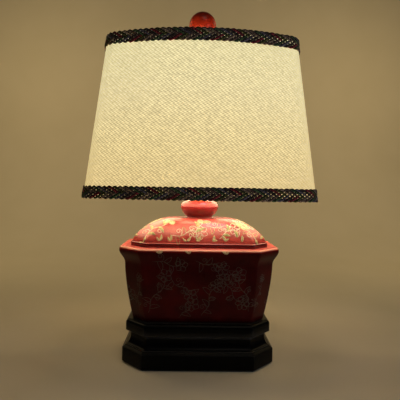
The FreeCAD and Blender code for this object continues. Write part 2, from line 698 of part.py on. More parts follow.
def socket_cap():
    # Thin brass cup on a threaded hub.
    bore = PIPE_RADIUS + THREAD_CLEARANCE
    hub_top = SADDLE_TOP + CAP_HUB_HEIGHT
    straight = SADDLE_TOP + CAP_HUB_STRAIGHT
    shoulder = SADDLE_TOP + CAP_SHOULDER
    round_off = CAP_SHOULDER_ROUND
    inside = CAP_RADIUS - CAP_WALL
    outline = [(bore, SADDLE_TOP), (CAP_HUB_RADIUS, SADDLE_TOP), (CAP_HUB_RADIUS, straight),
               (CAP_RADIUS - round_off, shoulder - round_off), (CAP_RADIUS, shoulder), (CAP_RADIUS, CAP_TOP),
               (inside, CAP_TOP), (inside, shoulder), (bore + CAP_WALL, hub_top), (bore, hub_top)]
    hole = Part.makeCylinder(SET_SCREW_RADIUS + THREAD_CLEARANCE, CAP_HUB_RADIUS,
                             vec(0, 0, SADDLE_TOP + SET_SCREW_RISE), vec(0, 1, 0))
    return revolve(polyline(outline)).cut([hole, switch_slot()])


def cap_set_screw():
    # Locks the cap's hub on the pipe; it comes in from the back.
    z = SADDLE_TOP + SET_SCREW_RISE
    y = PIPE_RADIUS + 2 * THREAD_CLEARANCE
    return Part.makeCylinder(SET_SCREW_RADIUS, SET_SCREW_LENGTH, vec(0, y, z), vec(0, 1, 0))


def body_radius():
    return SHELL_RADIUS - SHELL_WALL - SLEEVE_CLEARANCE - SLEEVE_WALL - BODY_CLEARANCE


def switch_height():
    return BODY_BOTTOM + SWITCH_RISE


def switch_slot():
    # Hole for the switch shaft through the front of the shell and its sleeve.
    return Part.makeCylinder(SWITCH_SHAFT_RADIUS + SWITCH_SLOT_CLEARANCE, 2 * CAP_RADIUS,
                             vec(0, 0, switch_height()), vec(0, -1, 0))


def socket_shell():
    # Straight brass shell with a rolled bead round its mouth.
    inner = SHELL_RADIUS - SHELL_WALL
    bead_z = SHELL_TOP - SHELL_BEAD_RADIUS
    tube = ring(SHELL_RADIUS, inner, SHELL_BOTTOM, bead_z)
    bead = Part.makeTorus(inner + SHELL_BEAD_RADIUS, SHELL_BEAD_RADIUS, vec(0, 0, bead_z), UP)
    return tube.fuse(bead).cut(switch_slot())


def shell_insulator():
    outer = SHELL_RADIUS - SHELL_WALL - SLEEVE_CLEARANCE
    sleeve_top = SHELL_TOP - 2 * SHELL_BEAD_RADIUS
    sleeve = ring(outer, outer - SLEEVE_WALL, SHELL_BOTTOM + SLEEVE_FOOT_GAP, sleeve_top)
    return sleeve.cut(switch_slot())


def terminal_places():
    return [(side, BODY_BOTTOM + BODY_HEIGHT / 2) for side in (-1, 1)]


def socket_body():
    # Moulded core that carries the contacts and the switch.
    core = cylinder(body_radius(), BODY_BOTTOM, BODY_TOP)
    shaft_hole = Part.makeCylinder(SWITCH_SHAFT_RADIUS + SWITCH_CLEARANCE, body_radius(),
                                   vec(0, -body_radius() + SWITCH_SHAFT_SINK, switch_height()), vec(0, -1, 0))
    core = core.cut(shaft_hole)
    for side, z in terminal_places():
        depth = TERMINAL_SHANK + TERMINAL_HEAD + TERMINAL_SINK
        pocket = Part.makeCylinder(TERMINAL_HEAD_RADIUS + TERMINAL_CLEARANCE, depth,
                                   vec(side * (body_radius() - depth), 0, z), vec(side, 0, 0))
        core = core.cut(pocket)
    return core


def terminal_screws():
    screws = []
    for side, z in terminal_places():
        foot = side * (body_radius() - TERMINAL_SHANK - TERMINAL_HEAD - TERMINAL_SINK)
        shank = Part.makeCylinder(TERMINAL_SHANK_RADIUS, TERMINAL_SHANK, vec(foot, 0, z), vec(side, 0, 0))
        head = Part.makeCylinder(TERMINAL_HEAD_RADIUS, TERMINAL_HEAD,
                                 vec(foot + side * TERMINAL_SHANK, 0, z), vec(side, 0, 0))
        screws.append(shank.fuse(head).removeSplitter())
    return Part.makeCompound(screws)


def screw_shell():
    # Socket's threaded liner, drawn as the plain tube its crests lie on.
    inner = BULB_CAP_RADIUS + SCREW_SHELL_CLEARANCE
    return ring(inner + SCREW_SHELL_WALL, inner, BODY_TOP, BULB_CAP_TOP - SCREW_SHELL_SHORT)


def centre_contact():
    # Brass strip bent back over itself, which the bulb's tip presses on.
    half = CONTACT_WIDTH / 2
    t = CONTACT_THICKNESS
    z0 = BODY_TOP
    z1 = z0 + CONTACT_RISE
    top = z1 + t - CONTACT_GAP
    outline = [vec(-half, -half, z0), vec(-half, half, z0), vec(-half, half, z0 + t),
               vec(-half, t - half, z0 + t), vec(-half, t - half, z1), vec(-half, half, z1),
               vec(-half, half, top), vec(-half, -half, top)]
    return Part.Face(sharp_wire(outline)).extrude(vec(CONTACT_WIDTH, 0, 0))


def knob_face():
    return -SHELL_RADIUS - SWITCH_KNOB_GAP


def shaft_end():
    return knob_face() - SWITCH_KNOB_LENGTH * SWITCH_SHAFT_SHARE


def switch_shaft():
    start = SWITCH_SHAFT_SINK - body_radius()
    return Part.makeCylinder(SWITCH_SHAFT_RADIUS, start - shaft_end(), vec(0, start, switch_height()),
                             vec(0, -1, 0))


def switch_knob():
    # Moulded turn key: a round hub with a flat wing across it.
    y0 = knob_face()
    z = switch_height()
    forward = vec(0, -1, 0)
    hub = Part.makeCone(SWITCH_KNOB_RADIUS, SWITCH_KNOB_END_RADIUS, SWITCH_HUB_LENGTH, vec(0, y0, z), forward)
    corner = vec(-SWITCH_WING_WIDTH / 2, y0 - SWITCH_KNOB_LENGTH, z - SWITCH_WING_SPAN / 2)
    wing = Part.makeBox(SWITCH_WING_WIDTH, SWITCH_WING_LENGTH, SWITCH_WING_SPAN, corner)
    short_edges = [edge for edge in wing.Edges if abs(edge.Length - SWITCH_WING_WIDTH) < 0.001]
    wing = wing.makeFillet(SWITCH_WING_ROUND, short_edges)
    bore = Part.makeCylinder(SWITCH_SHAFT_RADIUS, y0 - shaft_end(), vec(0, y0, z), forward)
    return hub.fuse(wing).removeSplitter().cut(bore)


def bulb_outline(inset):
    # Closed right half of the glass, from the neck in the cap to the crown.
    radius = BULB_RADIUS - inset
    centre = BULB_TOP - BULB_RADIUS
    neck = BULB_NECK_RADIUS - inset
    neck_z = BULB_CAP_TOP - BULB_NECK_SINK
    lean = math.radians(BULB_SHOULDER_ANGLE)
    crown = math.radians(BULB_CROWN_ANGLE)
    tangent = (radius * math.cos(lean), centre - radius * math.sin(lean))
    straight_end = (neck, neck_z + BULB_NECK_LENGTH)
    middle = between(straight_end, tangent, BULB_FLARE_BULGE)
    top = (0, BULB_TOP - inset)
    return [line((neck, neck_z), straight_end), arc(straight_end, middle, tangent),
            arc(tangent, (radius * math.cos(crown), centre + radius * math.sin(crown)), top),
            line(top, (0, neck_z)), line((0, neck_z), (neck, neck_z))]


def bulb_glass():
    return revolve(bulb_outline(0.0)).cut(revolve(bulb_outline(BULB_GLASS_WALL)))


def bulb_cap():
    # Metal screw cap, a cup that the glass neck is cemented in.
    r = BULB_CAP_RADIUS
    step, low, high = BULB_CAP_TAPER
    wall = BULB_CAP_WALL
    z0 = BULB_CAP_BOTTOM
    outline = [(BULB_INSULATOR_RADIUS, z0), (r - step, z0 + low), (r, z0 + high), (r, BULB_CAP_TOP),
               (r - wall, BULB_CAP_TOP), (r - wall, z0 + high + wall), (BULB_INSULATOR_RADIUS, z0 + 2 * wall)]
    return revolve(polyline(outline))


def bulb_insulator():
    z0 = BULB_CAP_BOTTOM
    foot = BULB_TIP + BULB_SOLDER_HEIGHT
    outline = [(BULB_TIP_RADIUS, foot), (BULB_INSULATOR_RADIUS, z0),
               (BULB_INSULATOR_RADIUS, z0 + BULB_INSULATOR), (0.0, z0 + BULB_INSULATOR), (0.0, foot)]
    return revolve(polyline(outline))


def bulb_contact():
    return Part.makeCone(BULB_TIP_RADIUS * BULB_CONTACT_SHARE, BULB_TIP_RADIUS, BULB_SOLDER_HEIGHT,
                         vec(0, 0, BULB_TIP), UP)


def bulb_stem():
    # Glass stem that holds the filament up in the widest part of the bulb.
    foot = vec(0, 0, BULB_CAP_BOTTOM + BULB_INSULATOR)
    return Part.makeCone(STEM_RADIUS, STEM_TOP_RADIUS, STEM_HEIGHT, foot, UP)


def bulb_filament():
    z = BULB_CAP_BOTTOM + BULB_INSULATOR + STEM_HEIGHT + FILAMENT_RADIUS
    return Part.makeCylinder(FILAMENT_RADIUS, 2 * FILAMENT_HALF, vec(-FILAMENT_HALF, 0, z), vec(1, 0, 0))


def shade_plan(z, inset):
    # The shade's outline at a height, set in evenly: eight arcs that run into each other.
    share = (z - SHADE_BOTTOM_HEIGHT) / SHADE_HEIGHT
    half_x, half_y, long_r, short_r, corner_r = [
        low + (high - low) * share - inset for low, high in zip(SHADE_BOTTOM_PLAN, SHADE_TOP_PLAN)]
    long_centre = vec(0, long_r - half_y, z)
    short_centre = vec(half_x - short_r, 0, z)
    r1 = long_r - corner_r
    r2 = short_r - corner_r
    span = short_centre.sub(long_centre)
    gap = span.Length
    along = (r1 * r1 - r2 * r2 + gap * gap) / (2 * gap)
    off = math.sqrt(r1 * r1 - along * along)
    unit = span * (1 / gap)
    corner_centre = long_centre.add(unit * along).add(vec(-unit.y, unit.x, 0) * off)
    to_long = corner_centre.sub(long_centre).normalize()
    to_short = corner_centre.sub(short_centre).normalize()
    to_corner = to_long.add(to_short).normalize()
    a = long_centre.add(to_long * long_r)
    b = corner_centre.add(to_corner * corner_r)
    c = short_centre.add(to_short * short_r)
    front = vec(0, -half_y, z)
    side = vec(half_x, 0, z)

    def flip(point, sx, sy):
        return vec(point.x * sx, point.y * sy, point.z)

    arcs = [(flip(a, -1, 1), front, a), (a, b, c), (c, side, flip(c, 1, -1)),
            (flip(c, 1, -1), flip(b, 1, -1), flip(a, 1, -1)),
            (flip(a, 1, -1), flip(front, 1, -1), flip(a, -1, -1)),
            (flip(a, -1, -1), flip(b, -1, -1), flip(c, -1, -1)),
            (flip(c, -1, -1), flip(side, -1, 1), flip(c, -1, 1)),
            (flip(c, -1, 1), flip(b, -1, 1), flip(a, -1, 1))]
    return Part.Wire([Part.Arc(p, q, r).toShape() for p, q, r in arcs])


def shade_band(z0, z1, outer_inset, inner_inset):
    # A tapered tube of the shade's plan between two heights and two insets.
    outer = stack([shade_plan(z0, outer_inset), shade_plan(z1, outer_inset)])
    inner = stack([shade_plan(z0, inner_inset), shade_plan(z1, inner_inset)])
    return outer.cut(inner)


def shade_fabric():
    return shade_band(SHADE_BOTTOM_HEIGHT + BRAID_LIP, SHADE_TOP_HEIGHT - BRAID_LIP, 0.0, FABRIC_THICKNESS)


def shade_liner():
    return shade_band(SHADE_BOTTOM_HEIGHT + BRAID_LIP, SHADE_TOP_HEIGHT - BRAID_LIP, FABRIC_THICKNESS,
                      FABRIC_THICKNESS + LINER_THICKNESS)


def braid(z0, z1, lip0, lip1):
    # Plaited trim glued outside the fabric, turned over the shade's edge by a lip.
    band = shade_band(z0, z1, -BRAID_THICKNESS, 0.0)
    lip = shade_band(lip0, lip1, -BRAID_THICKNESS, FABRIC_THICKNESS + LINER_THICKNESS)
    return band.fuse(lip).removeSplitter()


def braid_bottom():
    z0 = SHADE_BOTTOM_HEIGHT
    return braid(z0 + BRAID_LIP, z0 + BRAID_WIDTH, z0, z0 + BRAID_LIP)


def braid_top():
    z1 = SHADE_TOP_HEIGHT
    return braid(z1 - BRAID_WIDTH, z1 - BRAID_LIP, z1 - BRAID_LIP, z1)


def ring_inset():
    return FABRIC_THICKNESS + LINER_THICKNESS + RING_SEAT + RING_WIRE_RADIUS


def wire_ring(z):
    # Wire hoop bent to the shade's plan.
    path = shade_plan(z, ring_inset())
    first = path.Edges[0]
    section = Part.makeCircle(RING_WIRE_RADIUS, first.valueAt(first.FirstParameter),
                              first.tangentAt(first.FirstParameter))
    return path.makePipeShell([Part.Wire(section)], True, False)


def shade_bottom_ring():
    return wire_ring(SHADE_BOTTOM_HEIGHT + BRAID_LIP + RING_EDGE_GAP + RING_WIRE_RADIUS)


def rod(a, b, radius):
    along = b.sub(a)
    return Part.makeCylinder(radius, along.Length, a, along)


def shade_frame():
    # Top hoop, four arms that drop to the middle, and the washer that sits on the harp.
    ring_z = SHADE_TOP_HEIGHT - BRAID_LIP - RING_EDGE_GAP - RING_WIRE_RADIUS
    share = (ring_z - SHADE_BOTTOM_HEIGHT) / SHADE_HEIGHT
    reach_x, reach_y = [low + (high - low) * share - ring_inset()
                        for low, high in zip(SHADE_BOTTOM_PLAN[:2], SHADE_TOP_PLAN[:2])]
    washer = cylinder(SPIDER_WASHER_RADIUS, SEAT_TOP, WASHER_TOP)
    root = SPIDER_WASHER_RADIUS - SPIDER_ARM_LAP
    low_z = (SEAT_TOP + WASHER_TOP) / 2 + SPIDER_ARM_RADIUS * SPIDER_ARM_SINK
    arms = []
    for dx, dy, reach in ((1, 0, reach_x), (-1, 0, reach_x), (0, 1, reach_y), (0, -1, reach_y)):
        inner = vec(dx * root, dy * root, low_z)
        bend = vec(dx * reach * SPIDER_BEND_SHARE, dy * reach * SPIDER_BEND_SHARE, ring_z)
        end = vec(dx * reach, dy * reach, ring_z)
        arms += [rod(inner, bend, SPIDER_ARM_RADIUS), rod(bend, end, SPIDER_ARM_RADIUS),
                 Part.makeSphere(SPIDER_ARM_RADIUS, bend)]
    frame = washer.fuse([wire_ring(ring_z)] + arms).removeSplitter()
    return frame.cut(cylinder(SEAT_BOSS_RADIUS + SPIDER_HOLE_CLEARANCE, SEAT_TOP, WASHER_TOP))


def finial_base():
    # Turned brass stem, hollow below for the harp's stud, with a spigot that the ball is glued on.
    foot = FINIAL_FOOT_RADIUS
    waist = FINIAL_WAIST_RADIUS
    cup = FINIAL_CUP_RADIUS
    spigot = FINIAL_SPIGOT_RADIUS
    bore = STUD_RADIUS + THREAD_CLEARANCE
    recess = SEAT_BOSS_RADIUS + SPIDER_HOLE_CLEARANCE
    z0 = WASHER_TOP
    z1 = FINIAL_CUP_TOP
    foot_top = z0 + FINIAL_FOOT_HEIGHT
    waist_z = (foot_top + z1) / 2
    cup_edge = z1 - FINIAL_CUP_EDGE
    recess_top = SEAT_TOP + SEAT_BOSS_HEIGHT + STUD_END_GAP
    bore_top = SEAT_TOP + STUD_LENGTH + STUD_END_GAP
    top = z1 + FINIAL_SPIGOT_LENGTH
    outline = [line((recess, z0), (foot, z0)), line((foot, z0), (foot, foot_top)),
               line((foot, foot_top), (waist, waist_z)), line((waist, waist_z), (cup, cup_edge)),
               line((cup, cup_edge), (cup, z1)), line((cup, z1), (spigot, z1)),
               line((spigot, z1), (spigot, top)), line((spigot, top), (0, top)),
               line((0, top), (0, bore_top)), line((0, bore_top), (bore, bore_top)),
               line((bore, bore_top), (bore, recess_top)), line((bore, recess_top), (recess, recess_top)),
               line((recess, recess_top), (recess, z0))]
    return revolve(outline)


def finial_ball():
    radius = BALL_DIAMETER / 2
    seat = FINIAL_CUP_RADIUS - BALL_SEAT_MARGIN
    centre = FINIAL_CUP_TOP + math.sqrt(radius ** 2 - seat ** 2)
    ball = Part.makeSphere(radius, vec(0, 0, centre))
    below = cylinder(BALL_DIAMETER, centre - BALL_DIAMETER, FINIAL_CUP_TOP)
    bore = cylinder(FINIAL_SPIGOT_RADIUS + SPIGOT_CLEARANCE, FINIAL_CUP_TOP,
                    FINIAL_CUP_TOP + FINIAL_SPIGOT_LENGTH + STUD_END_GAP)
    return ball.cut([below, bore])


os.makedirs("parts", exist_ok=True)
save("felt_pad", felt_pad())
save("plinth_base", plinth_base())
save("plinth_top", plinth_top())
save("plinth_screws", plinth_screws())
save("cord_grommet", cord_grommet())
save("jar", jar())
save("lid", lid())
save("threaded_pipe", threaded_pipe())
save("bottom_washer", bottom_washer())
save("bottom_nut", bottom_nut())
save("knob_cushion", knob_cushion())
save("check_ring", check_ring())
save("top_lock_nut", top_lock_nut())
save("neck", neck())
save("harp_saddle", harp_saddle())
save("harp_loop", harp_loop())
save("harp_ferrule_left", harp_ferrule(-1))
save("harp_ferrule_right", harp_ferrule(1))
save("harp_seat", harp_seat())
save("socket_cap", socket_cap())
save("cap_set_screw", cap_set_screw())
save("socket_shell", socket_shell())
save("shell_insulator", shell_insulator())
save("socket_body", socket_body())
save("terminal_screws", terminal_screws())
save("screw_shell", screw_shell())
save("centre_contact", centre_contact())
save("switch_shaft", switch_shaft())
save("switch_knob", switch_knob())
save("bulb_glass", bulb_glass())
save("bulb_cap", bulb_cap())
save("bulb_insulator", bulb_insulator())
save("bulb_contact", bulb_contact())
save("bulb_stem", bulb_stem())
save("bulb_filament", bulb_filament())
save("shade_fabric", shade_fabric())
save("shade_liner", shade_liner())
save("braid_bottom", braid_bottom())
save("braid_top", braid_top())
save("shade_bottom_ring", shade_bottom_ring())
save("shade_frame", shade_frame())
save("finial_base", finial_base())
save("finial_ball", finial_ball())
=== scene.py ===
import bpy
import random
from math import asin, atan2, cos, floor, hypot, pi, radians, sin, sqrt, tan
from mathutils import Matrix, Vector
from mathutils.bvhtree import BVHTree


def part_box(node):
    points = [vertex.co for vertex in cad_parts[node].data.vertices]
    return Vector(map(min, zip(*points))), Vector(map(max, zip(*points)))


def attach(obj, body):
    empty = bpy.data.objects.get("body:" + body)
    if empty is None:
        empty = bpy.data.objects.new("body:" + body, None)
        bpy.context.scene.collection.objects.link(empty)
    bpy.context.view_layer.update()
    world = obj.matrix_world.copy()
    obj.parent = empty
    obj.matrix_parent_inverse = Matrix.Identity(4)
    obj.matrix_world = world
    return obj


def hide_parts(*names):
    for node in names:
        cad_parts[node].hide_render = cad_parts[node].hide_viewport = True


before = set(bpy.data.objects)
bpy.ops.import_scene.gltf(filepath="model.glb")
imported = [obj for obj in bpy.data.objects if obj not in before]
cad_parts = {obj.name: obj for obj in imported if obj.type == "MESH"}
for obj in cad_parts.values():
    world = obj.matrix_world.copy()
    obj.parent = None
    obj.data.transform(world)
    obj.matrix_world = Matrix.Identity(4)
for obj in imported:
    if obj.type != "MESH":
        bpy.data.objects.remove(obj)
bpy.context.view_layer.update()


# The felt pad
# A sheet of dark green pressed wool felt, cut to the plinth's outline and glued
# under it. Its cut edge is soft and slightly fuzzy, so its outline wavers a little.
MM = 0.001
HALF_BEND = radians(22.5)
PLINTH_CUT = 34.0
FELT_INSET = 2.5
FELT_CORNER = 1.5
FELT_FUZZ = 0.25


def mm_box(node):
    # A node's lowest and highest corners in millimetres.
    low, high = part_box(node)
    return low / MM, high / MM


def linear(colour):
    # An sRGB hex colour as the linear values that a shader takes.
    channels = [int(colour[i:i + 2], 16) / 255 for i in (1, 3, 5)]
    return [c / 12.92 if c <= 0.04045 else ((c + 0.055) / 1.055) ** 2.4 for c in channels] + [1.0]


def plug(tree, node, inputs):
    # Fills a node's inputs from another node's first output, from a socket or with a value.
    for name, value in inputs.items():
        if isinstance(value, bpy.types.Node):
            value = next(output for output in value.outputs if output.enabled)
        if isinstance(value, bpy.types.NodeSocket):
            tree.links.new(value, node.inputs[name])
        else:
            node.inputs[name].default_value = value


def add_node(tree, kind, inputs=None, stops=(), **settings):
    # Adds a shader node with its own settings, its inputs and a ramp's stops.
    node = tree.nodes.new("ShaderNode" + kind)
    for name, value in settings.items():
        setattr(node, name, value)
    plug(tree, node, inputs or {})
    for i, (place, colour) in enumerate(stops):
        element = node.color_ramp.elements[i] if i < 2 else node.color_ramp.elements.new(place)
        element.position = place
        element.color = linear(colour)
    return node


def new_material(name, **sockets):
    # A material whose Principled shader has these plain values, and the place on the piece.
    material = bpy.data.materials.new(name)
    material.use_nodes = True
    tree = material.node_tree
    shader = tree.nodes["Principled BSDF"]
    plug(tree, shader, {socket.replace("_", " "): value for socket, value in sockets.items()})
    return material, tree, shader, add_node(tree, "TexCoord").outputs["Object"]


def mottle(tree, place, size, stops, **noise):
    # Noise that swells about every size millimetres, and the tones that it runs through.
    swells = add_node(tree, "TexNoise", {"Vector": place, "Scale": 1 / (size * MM), **noise})
    return swells, add_node(tree, "ValToRGB", {"Fac": swells}, stops)


def add_object(name, data):
    # An object that holds this data, linked into the scene.
    item = bpy.data.objects.new(name, data)
    bpy.context.scene.collection.objects.link(item)
    return item


def make_object(name, points, faces, material):
    # A smooth mesh object from points in millimetres.
    mesh = bpy.data.meshes.new(name)
    mesh.from_pydata([Vector(p) * MM for p in points], [], faces)
    mesh.polygons.foreach_set("use_smooth", [True] * len(mesh.polygons))
    mesh.materials.append(material)
    mesh.update()
    return add_object(name, mesh)


def set_in(cut, inset):
    # The length of a cut corner's setback after its outline is set in evenly.
    return cut - inset * (1 - tan(HALF_BEND))


def cut_corner_rings(half_x, half_y, cut, levels, bend_steps=6, side_step=6.0):
    # A stack of rectangles with cut corners. Each level is an inset, a height, the radius of
    # its eight bends and the share of the whole outline that it starts from. Every ring has
    # as many points along a side as the first, so that the rings can be joined.
    rings = []
    sides = None
    for inset, z, radius, share in levels:
        x, y, c = half_x * share - inset, half_y * share - inset, set_in(cut * share, inset)
        corners = [Vector(spot) for spot in ((x - c, -y), (x, c - y), (x, y - c), (x - c, y),
                                             (c - x, y), (-x, y - c), (-x, c - y), (c - x, -y))]
        bends = []
        for i, corner in enumerate(corners):
            before = (corners[i - 1] - corner).normalized()
            after = (corners[(i + 1) % 8] - corner).normalized()
            centre = corner + (before + after).normalized() * radius / cos(HALF_BEND)
            start = corner + before * radius * tan(HALF_BEND) - centre
            arc = []
            for k in range(bend_steps + 1):
                turn = 2 * HALF_BEND / bend_steps * k
                arc.append(centre + Vector((cos(turn) * start.x - sin(turn) * start.y,
                                            sin(turn) * start.x + cos(turn) * start.y)))
            bends.append(arc)
        ends = [(bends[i][-1], bends[(i + 1) % 8][0]) for i in range(8)]
        sides = sides or [max(2, round((b - a).length / side_step)) for a, b in ends]
        ring = []
        for bend, (a, b), count in zip(bends, ends, sides):
            ring += bend + [a.lerp(b, k / count) for k in range(1, count)]
        rings.append([Vector((p.x, p.y, z)) for p in ring])
    return rings


def join_rings(rings, capped=False):
    # Skins a stack of rings that all have the same count of points.
    count = len(rings[0])
    points = [p for ring in rings for p in ring]
    faces = []
    for start in range(0, len(points) - count, count):
        for i in range(count):
            j = (i + 1) % count
            faces.append((start + i, start + j, start + count + j, start + count + i))
    if capped:
        faces.append(tuple(range(count - 1, -1, -1)))
        faces.append(tuple(range(len(points) - count, len(points))))
    return points, faces


felt, tree, shader, place = new_material("wool_felt", Roughness=1.0, Sheen_Weight=0.6)
# Matted fibres about 0.4 mm thick.
fibres, green = mottle(tree, place, 0.8, [(0.3, "#0C150D"), (0.7, "#1E2F1E")], Detail=4.0)
nap = add_node(tree, "Bump", {"Height": fibres, "Strength": 0.5, "Distance": 0.3 * MM})
plug(tree, shader, {"Base Color": green, "Normal": nap})

low, high = mm_box("felt_pad")
edge = ((0.4, low.z), (0.0, low.z + 0.5), (0.0, high.z - 0.4), (0.3, high.z))
rings = cut_corner_rings(high.x, high.y, set_in(PLINTH_CUT, FELT_INSET),
                         [(inset, z, FELT_CORNER, 1.0) for inset, z in edge], bend_steps=5)
fuzz = random.Random(3)
rings = [[p + Vector((fuzz.uniform(-1, 0), fuzz.uniform(-1, 0), 0)) * FELT_FUZZ * (1 if p.x > 0 else -1)
          for p in ring] for ring in rings]
points, faces = join_rings(rings, capped=True)
pad = make_object("felt_pad_sheet", points, faces, felt)
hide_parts("felt_pad")
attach(pad, "lamp_base")


# The plinth
# Two tiers of hardwood, moulded with a bevel, a cove and a rounded shoulder, and
# finished in black lacquer brought to a satin gloss by rubbing. Its arrises are eased by
# sanding, and a painted highlight in pale grey picks them out as fine lines.
ARRIS = 0.9
PLINTH_CORNER = 1.6
FOOT_CHAMFER = 0.8
LOWER_FACE = 22.0
LOWER_BEVEL_INSET = 4.6
LOWER_BEVEL_RISE = 3.6
COVE_STEP = 1.0
COVE_DEPTH = 8.2
COVE_RISE = 15.0
UPPER_INSET = 5.3
SHOULDER = 6.0
PIPE_HOLE = 5.75
QUARTER_TURN = [pi / 2 * k / 12 for k in range(13)]

lacquer, tree, shader, place = new_material("black_lacquered_hardwood", IOR=1.5, Specular_IOR_Level=0.08)
# Grain runs along the plinth: streaks about 1.2 mm apart, drawn out 25 times as long.
stretch = add_node(tree, "Mapping", {"Vector": place, "Scale": (0.04, 1.0, 1.0)})
grain, black = mottle(tree, stretch, 1.2, [(0.35, "#020203"), (0.7, "#08090B")], Detail=5.0, Roughness=0.6)
pores = add_node(tree, "Bump", {"Height": grain, "Strength": 0.12, "Distance": 0.2 * MM})
# The rubbing left clouds about 45 mm across. The arrises are painted pale grey: a painted highlight along them.
clouds = add_node(tree, "TexNoise", {"Vector": place, "Scale": 1 / (45 * MM)})
sheen = add_node(tree, "MapRange", {"Value": clouds, "To Min": 0.24, "To Max": 0.38})
bend = add_node(tree, "NewGeometry").outputs["Pointiness"]
# Painted highlight: pale grey on the sharpest bends.
arris_highlight_mask = add_node(tree, "MapRange", {"Value": bend, "From Min": 0.52, "From Max": 0.60, "To Max": 0.8})
arris_highlight = add_node(tree, "Mix", {"Factor": arris_highlight_mask, "A": black, "B": linear("#86827C")}, data_type="RGBA")
plug(tree, shader, {"Base Color": arris_highlight, "Roughness": sheen, "Normal": pores})


def eased(profile, radius, steps=3):
    # Rounds each corner of an open (inset, height) profile by a small curve.
    result = [profile[0]]
    for i in range(1, len(profile) - 1):
        a, b, c = (Vector(profile[k]) for k in (i - 1, i, i + 1))
        start = b + (a - b).normalized() * min(radius, (a - b).length * 0.4)
        end = b + (c - b).normalized() * min(radius, (c - b).length * 0.4)
        for t in (k / steps for k in range(steps + 1)):
            result.append(tuple(start * (1 - t) ** 2 + b * 2 * t * (1 - t) + end * t ** 2))
    return result + [profile[-1]]


def pipe_hole(ring):
    # The edge of the hole for the lamp pipe, level with a ring and with as many points.
    return [Vector((p.x, p.y, 0)).normalized() * PIPE_HOLE + Vector((0, 0, p.z)) for p in ring]


def tier(name, node, profile, cut):
    # A moulded tier: its (inset, height) profile swept round the cut-corner outline.
    high = mm_box(node)[1]
    rings = cut_corner_rings(high.x, high.y, cut, [(inset, z, PLINTH_CORNER, 1.0) for inset, z in profile],
                             bend_steps=4, side_step=5.0)
    holes = [pipe_hole(rings[0]), pipe_hole(rings[-1])]
    points, faces = join_rings(holes[:1] + rings + holes[::-1])
    piece = make_object(name, points, faces, lacquer)
    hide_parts(node)
    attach(piece, "lamp_base")


low, high = mm_box("plinth_base")
bevel_top = low.z + LOWER_FACE + LOWER_BEVEL_RISE
face = [(FOOT_CHAMFER, low.z), (0.0, low.z + FOOT_CHAMFER), (0.0, low.z + LOWER_FACE),
        (LOWER_BEVEL_INSET, bevel_top), (LOWER_BEVEL_INSET, bevel_top + COVE_STEP)]
cove = [(LOWER_BEVEL_INSET + COVE_DEPTH * sin(turn), bevel_top + COVE_STEP + COVE_RISE * (1 - cos(turn)))
        for turn in QUARTER_TURN[1:]]
tier("plinth_lower_tier", "plinth_base", eased(face, ARRIS) + cove + [(cove[-1][0], high.z)], PLINTH_CUT)

low, high = mm_box("plinth_top")
shoulder = [(SHOULDER * (1 - cos(turn)), high.z - SHOULDER * (1 - sin(turn))) for turn in QUARTER_TURN]
tier("plinth_upper_tier", "plinth_top", [(1.0, low.z), (0.3, low.z + 0.3), (0.0, low.z + 1.0)] + shoulder,
     set_in(PLINTH_CUT, UPPER_INSET))


# The cord's grommet and the fixings under the plinth
# A moulded black rubber bush in the back of the plinth, and zinc-plated steel screws,
# washer, nuts and lamp pipe, rolled and turned, that clamp plinth, jar and lid together.
def dress(material, *nodes):
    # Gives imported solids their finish.
    for node in nodes:
        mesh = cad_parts[node].data
        mesh.materials.clear()
        mesh.materials.append(material)


rubber, tree, shader, place = new_material("moulded_black_rubber", Roughness=0.7)
# Dull bloom in patches about 3 mm apart.
bloom, tone = mottle(tree, place, 3, [(0.3, "#121212"), (0.8, "#232222")], Detail=6.0)
skin = add_node(tree, "Bump", {"Height": bloom, "Strength": 0.2, "Distance": 0.1 * MM})
plug(tree, shader, {"Base Color": tone, "Normal": skin})
dress(rubber, "cord_grommet", "knob_cushion")

zinc, tree, shader, place = new_material("zinc_plated_steel", Metallic=1.0, Roughness=0.35)
# Spangle and handling marks, a few millimetres across.
marks, plate = mottle(tree, place, 2.5, [(0.3, "#8F9499"), (0.75, "#C3C6C8")], Detail=5.0)
polish = add_node(tree, "MapRange", {"Value": marks, "To Min": 0.25, "To Max": 0.5})
plug(tree, shader, {"Base Color": plate, "Roughness": polish})
dress(zinc, "plinth_screws", "threaded_pipe", "bottom_washer", "bottom_nut", "top_lock_nut", "cap_set_screw",
      "bulb_contact")


# The jar
# Slip-cast porcelain of rectangular plan with cut corners, drawn in below and flared out
# to a broad flat rim, under a thick red glaze with a wet gloss. The body is a dark shaded copy
# of that glaze (painted shade); its edges turn paler, partly thinner glaze and partly painted highlight.
RIM_CUT = 34.5
EDGE_ROUND = 5.0
MOUTH_ROUND = 4.0
INNER_ROUND = 3.0
FOOT_INSET = 21.7
NECK_INSET = 8.8
BELLY_POWER = 1.5
FLARE_POWER = 1.2
FLARE_HEIGHT = 22.5
LIP_HEIGHT = 5.8
LIP_INSET = 3.6
SEAT_INSET = 17.3
MOUTH_INSET = 24.3
LEDGE = 9.0
JAR_WALL = 6.0
JAR_FLOOR = 8.0

jar_low, jar_high = mm_box("jar")
JAR_HEIGHT = jar_high.z - jar_low.z
FLARE_START = JAR_HEIGHT - LIP_HEIGHT - FLARE_HEIGHT


